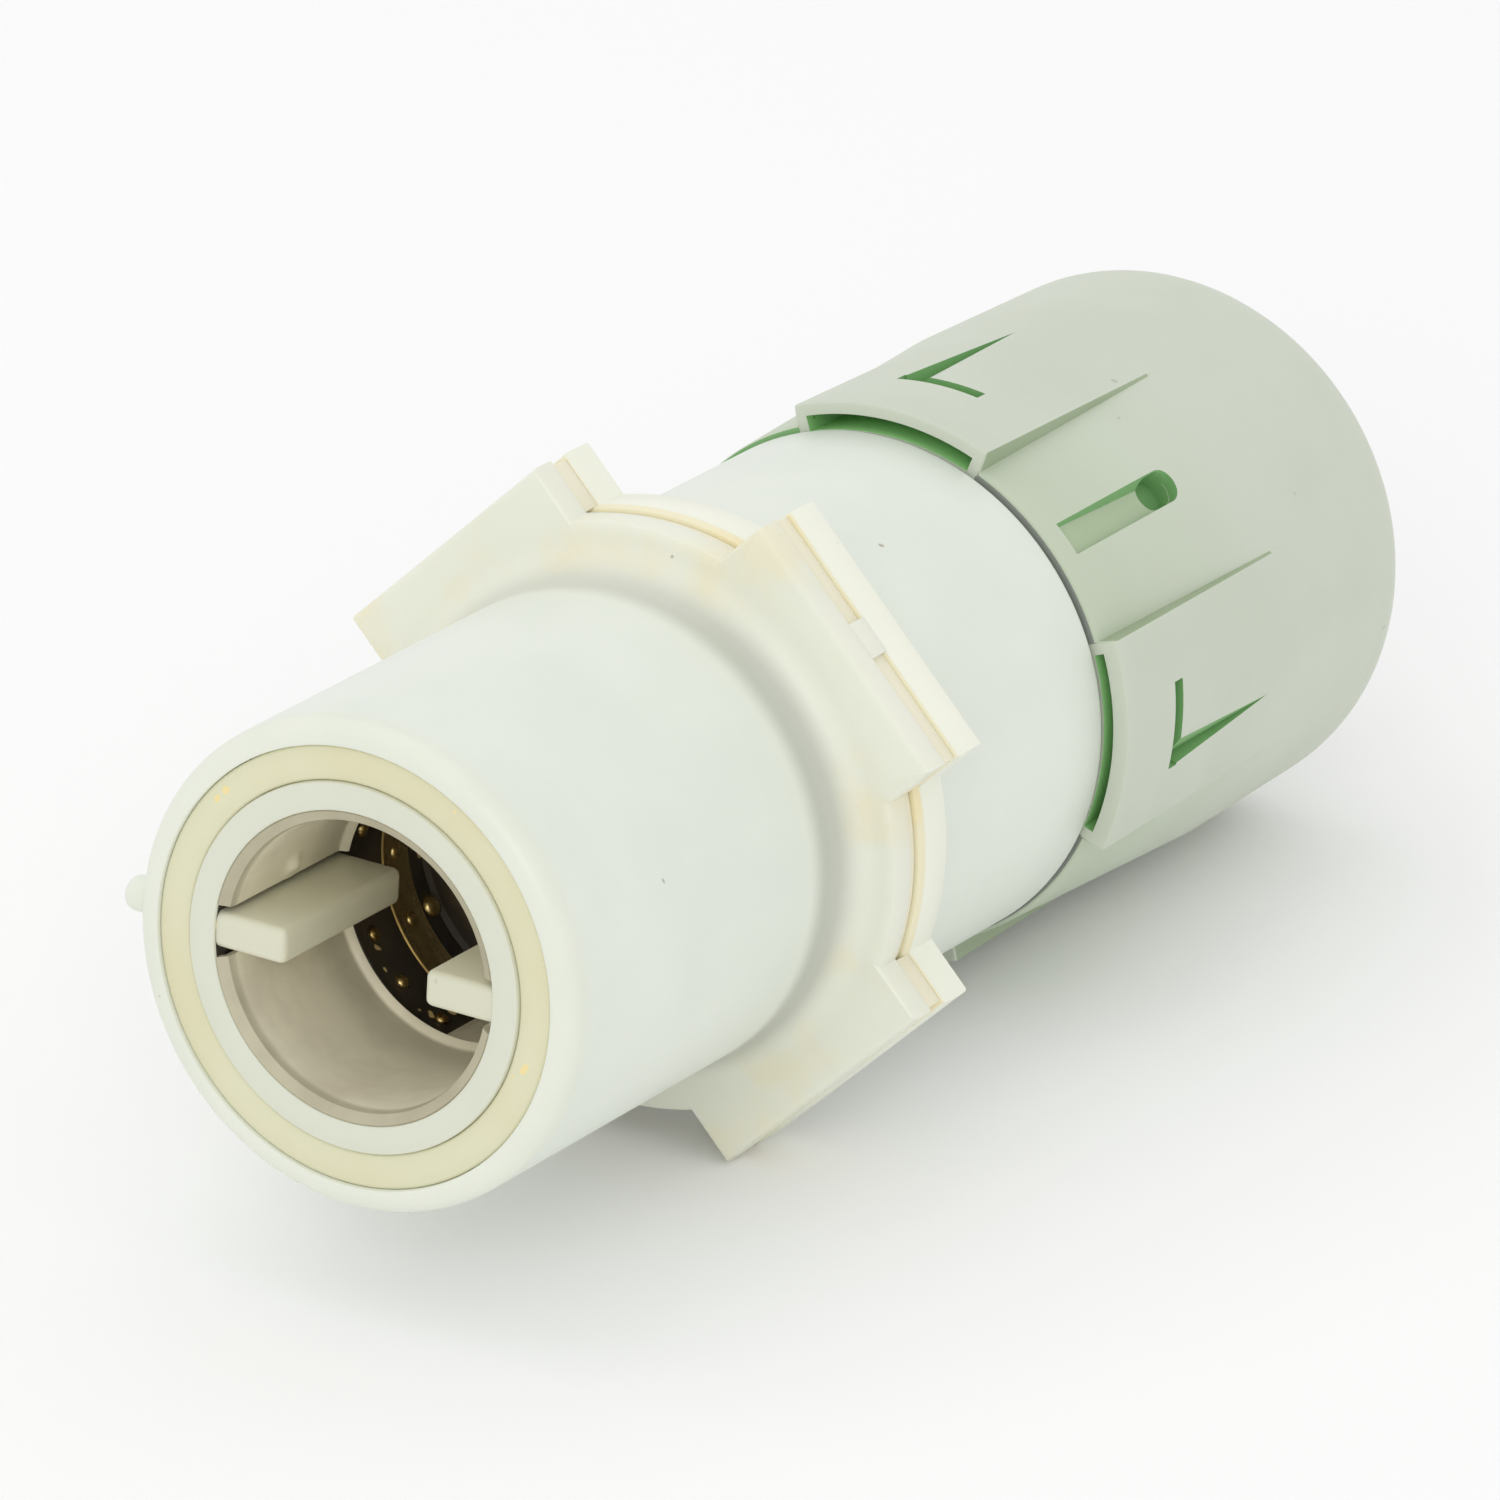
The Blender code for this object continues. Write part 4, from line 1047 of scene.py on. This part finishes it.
def arm_cutter(bm, pad, way):
    near, tip, far = MARK_DEGS
    foot = MARK_Y[0] + MARK_W / 2
    near -= 0.3
    top = bm.verts.new(at_angle(pad + way * near)(pad_skin(foot) + 0.9, 0, foot))
    deep = bm.verts.new(at_angle(pad + way * near)(pad_skin(foot) - ARM_DEPTH, 0, foot))
    tip = bm.verts.new(at_angle(pad + way * tip)(pad_skin(MARK_Y[1]) + 0.1, 0, MARK_Y[1]))
    inner = bm.verts.new(at_angle(pad + way * (near - ARM_DEG))(pad_skin(foot) + 0.1, 0, foot))
    for corners in ((top, deep, tip), (top, inner, deep), (top, tip, inner), (deep, inner, tip)):
        bm.faces.new(corners)


def stroke_cutter(bm, pad, way):
    near, tip, far = MARK_DEGS
    degs = [near + (far - near) * i / 12 for i in range(13)]
    floor = pad_skin(MARK_Y[0]) - MARK_DEPTH
    edge = [(PAD_R + 1, d) for d in degs] + [(floor, d) for d in reversed(degs)]
    low = [bm.verts.new(at_angle(pad + way * d)(r, 0, MARK_Y[0])) for r, d in edge]
    high = [bm.verts.new(at_angle(pad + way * d)(r, 0, MARK_Y[0] + MARK_W)) for r, d in edge]
    closed_prism(bm, low, high)


first, second, third = bmesh.new(), bmesh.new(), bmesh.new()
for k in range(4):
    way = 1 if k % 2 else -1
    hollow_cutter(first, 90 * k, HOLLOW_OUT if k else RIGHT_HOLLOW_OUT, PAD_HALF - 2.4)
    if k % 2 == 0:
        slot_cutter(first, 45 + 90 * k, SLOT[0], SLOT[1], SLOT_W / 2, SLOT_FLOOR).material_index = 1
        slot_cutter(third, 45 + 90 * k, LATCH_FRONT, SLOT[1] - 0.1, SLOT_W / 2 - 0.1, LATCH_FLOOR, True)
    arm_cutter(first, 90 * k, way)
    stroke_cutter(second, 90 * k, way)
# The cutters carry three painted shades: recess walls and marks (0), slot floors (1), hollows (2).
for tool_mesh in (first, second, third):
    tool = finish_piece("recess_tool", tool_mesh, 40, recess_painted_shade)
    tool.data.materials.append(slot_floor_painted_shade)
    tool.data.materials.append(hollow_painted_shade)
    combined(end_cap, tool, "DIFFERENCE")
# Painted shade on the cap's front face in the flutes for the joint line; in the upper-left flute that face
# takes the recess's painted shade instead.
end_cap.data.materials.append(joint_painted_shade)
slots = [material.name for material in end_cap.data.materials]
for face in end_cap.data.polygons:
    turn = math.degrees(math.atan2(face.center.z, face.center.x))
    in_flute = abs((turn + 45) % 90 - 45) > PAD_HALF
    upper_left = 90 < turn < 180
    forward = face.normal.y < (-0.9 if upper_left else -0.97)
    if in_flute and forward and face.center.y < (CAP_FRONT + 0.1) * MM:
        face.material_index = slots.index("recess_painted_shade" if upper_left else "joint_painted_shade")
seat(end_cap, "cap", "cap_plastic", "end_cap")

# %% [markdown]
# The cable comes in at the rear through a ribbed rubber grommet. Its hole is left open: the photo
# shows no cable. The pieces inside hardly show, so they keep their CAD shapes and get finishes.

# %% Grommet and inner pieces
GROMMET_IN = 4.0
GROMMET_R = 6.2
GROMMET_HEAD = 7.7
GROMMET_Y = (65.2, 66.6)
low, high = GROMMET_Y
stations = [(GROMMET_IN, low), (GROMMET_HEAD, low), (GROMMET_HEAD, high)]
stations += [(GROMMET_R, high), (GROMMET_R, 70.4)]
stations += [(GROMMET_R - 0.25 * k + 0.12 * (k % 2), 70.5 + 0.2 * k) for k in range(1, 5)]
stations += [(GROMMET_IN + 0.6, 71.7), (GROMMET_IN + 0.2, 71.6), (GROMMET_IN, 71.4)]
grommet = turned_piece("cable_grommet_ring", stations, even(96), black_rubber)
seat(grommet, "cap", "black_rubber", "cable_grommet")
INNER_FINISHES = {
    "terminal_carrier": dark_phenolic, "terminal_upper": brass, "terminal_lower": brass,
    "retaining_ring": spring_steel, "cap_seal": black_rubber, "clamp_washer": spring_steel,
    "cable_collet": cap_plastic}
for node, finish in INNER_FINISHES.items():
    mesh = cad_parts[node].data
    mesh.materials.clear()
    mesh.materials.append(finish)
print("finishes on", len(INNER_FINISHES), "inner pieces")

# %% [markdown]
# The holder lies on a white table. It rests on the corners of two lower tabs and on the cap, so
# the table leans a little in the object's own frame. The lean comes from those two contacts.

# %% Table
TABLE_HALF = 3000.0
TABLE_GAP = 0.05
TAB_REST = 3.0
scene = bpy.context.scene
scene.view_settings.view_transform = "Standard"
corner_r = math.hypot(TAB_D, TAB_HALF)
low_tab = corner_r * math.sin(math.radians(45) + math.atan2(TAB_HALF, TAB_D))
lean = math.atan2(low_tab - PAD_R + CAP_TAPER, CAP_END - CAP_ROUND - TAB_REST)
bm = bmesh.new()
bmesh.ops.create_grid(bm, x_segments=1, y_segments=1, size=TABLE_HALF * MM)
turn = Matrix.Translation((0, TAB_REST * MM, (-low_tab - TABLE_GAP) * MM)) @ Matrix.Rotation(lean, 4, "X")
bmesh.ops.transform(bm, matrix=turn, verts=bm.verts)
mesh = bpy.data.meshes.new("table")
bm.to_mesh(mesh)
bm.free()
table = bpy.data.objects.new("table", mesh)
scene.collection.objects.link(table)
table_white = bpy.data.materials.new("table_white")
table_white.use_nodes = True
shader = table_white.node_tree.nodes["Principled BSDF"]
shader.inputs["Base Color"].default_value = (0.97, 0.97, 0.97, 1)
shader.inputs["Roughness"].default_value = 0.9
mesh.materials.append(table_white)
print("table leans", round(math.degrees(lean), 2), "degrees")

# %% [markdown]
# The light is that of a product photo: a white world all round, and two soft panels. The world is
# full white where the camera, a gloss or glass sees it, and a little dimmer where it only lights
# the scene. One panel hangs above for the pale tops, and one stands in front so that the mouth and
# the flange's edge aren't dim.

# %% Light
WORLD_LEVEL = 0.86
world = bpy.data.worlds.new("studio")
scene.world = world
world.use_nodes = True
tree = world.node_tree
background = tree.nodes["Background"]
background.inputs["Color"].default_value = (1, 1, 1, 1)
rays = tree.nodes.new("ShaderNodeLightPath")
seen = calc(tree, "MAXIMUM", rays.outputs["Is Camera Ray"], rays.outputs["Is Glossy Ray"])
seen = calc(tree, "MAXIMUM", seen, rays.outputs["Is Transmission Ray"])
level = ranged(tree, seen, 0.0, 1.0, WORLD_LEVEL, 1.0, "LINEAR")
tree.links.new(level, background.inputs["Strength"])


def soft_panel(name, place, aim, size, power):
    light = bpy.data.lights.new(name, "AREA")
    light.shape = "RECTANGLE"
    light.size, light.size_y = size
    light.energy = power
    lamp = bpy.data.objects.new(name, light)
    lamp.location = place
    lamp.rotation_euler = (Vector(aim) - Vector(place)).to_track_quat("-Z", "Y").to_euler()
    scene.collection.objects.link(lamp)
    print(name, "at", power, "W")


soft_panel("panel_over", (-0.25, -0.05, 0.7), (0, 0.01, 0), (0.7, 0.7), 0.65)
soft_panel("panel_front", (0.36, -0.80, 0.42), (0, 0.0, 0), (0.5, 0.35), 1.3)

# %% [markdown]
# The camera stands where the photo was taken: in front, to the right and above, with a long lens
# and a slight roll. These values were fitted to the outlines of the rim, the tabs and the cap.

# %% Camera
CAMERA_AZIMUTH = 30.41
CAMERA_ELEVATION = 21.15
CAMERA_ROLL = 3.03
CAMERA_FAR = 0.90
CAMERA_LENS = 336.0
LOOKS_AT = Vector((-2.2, 18.2, -1.5)) * MM
a, e = math.radians(CAMERA_AZIMUTH), math.radians(CAMERA_ELEVATION)
back = Vector((math.sin(a) * math.cos(e), -math.cos(a) * math.cos(e), math.sin(e)))
right = Vector((math.cos(a), math.sin(a), 0))
up = back.cross(right)
r = math.radians(CAMERA_ROLL)
right, up = right * math.cos(r) + up * math.sin(r), up * math.cos(r) - right * math.sin(r)
lens = bpy.data.cameras.new("photo_camera")
lens.lens = CAMERA_LENS
lens.sensor_width = 36.0
lens.clip_end = 20.0
camera = bpy.data.objects.new("photo_camera", lens)
facing = Matrix((right, up, back)).transposed().to_4x4()
camera.matrix_world = Matrix.Translation(LOOKS_AT + back * CAMERA_FAR) @ facing
scene.collection.objects.link(camera)
scene.camera = camera
print("camera", round(CAMERA_FAR, 2), "m away")
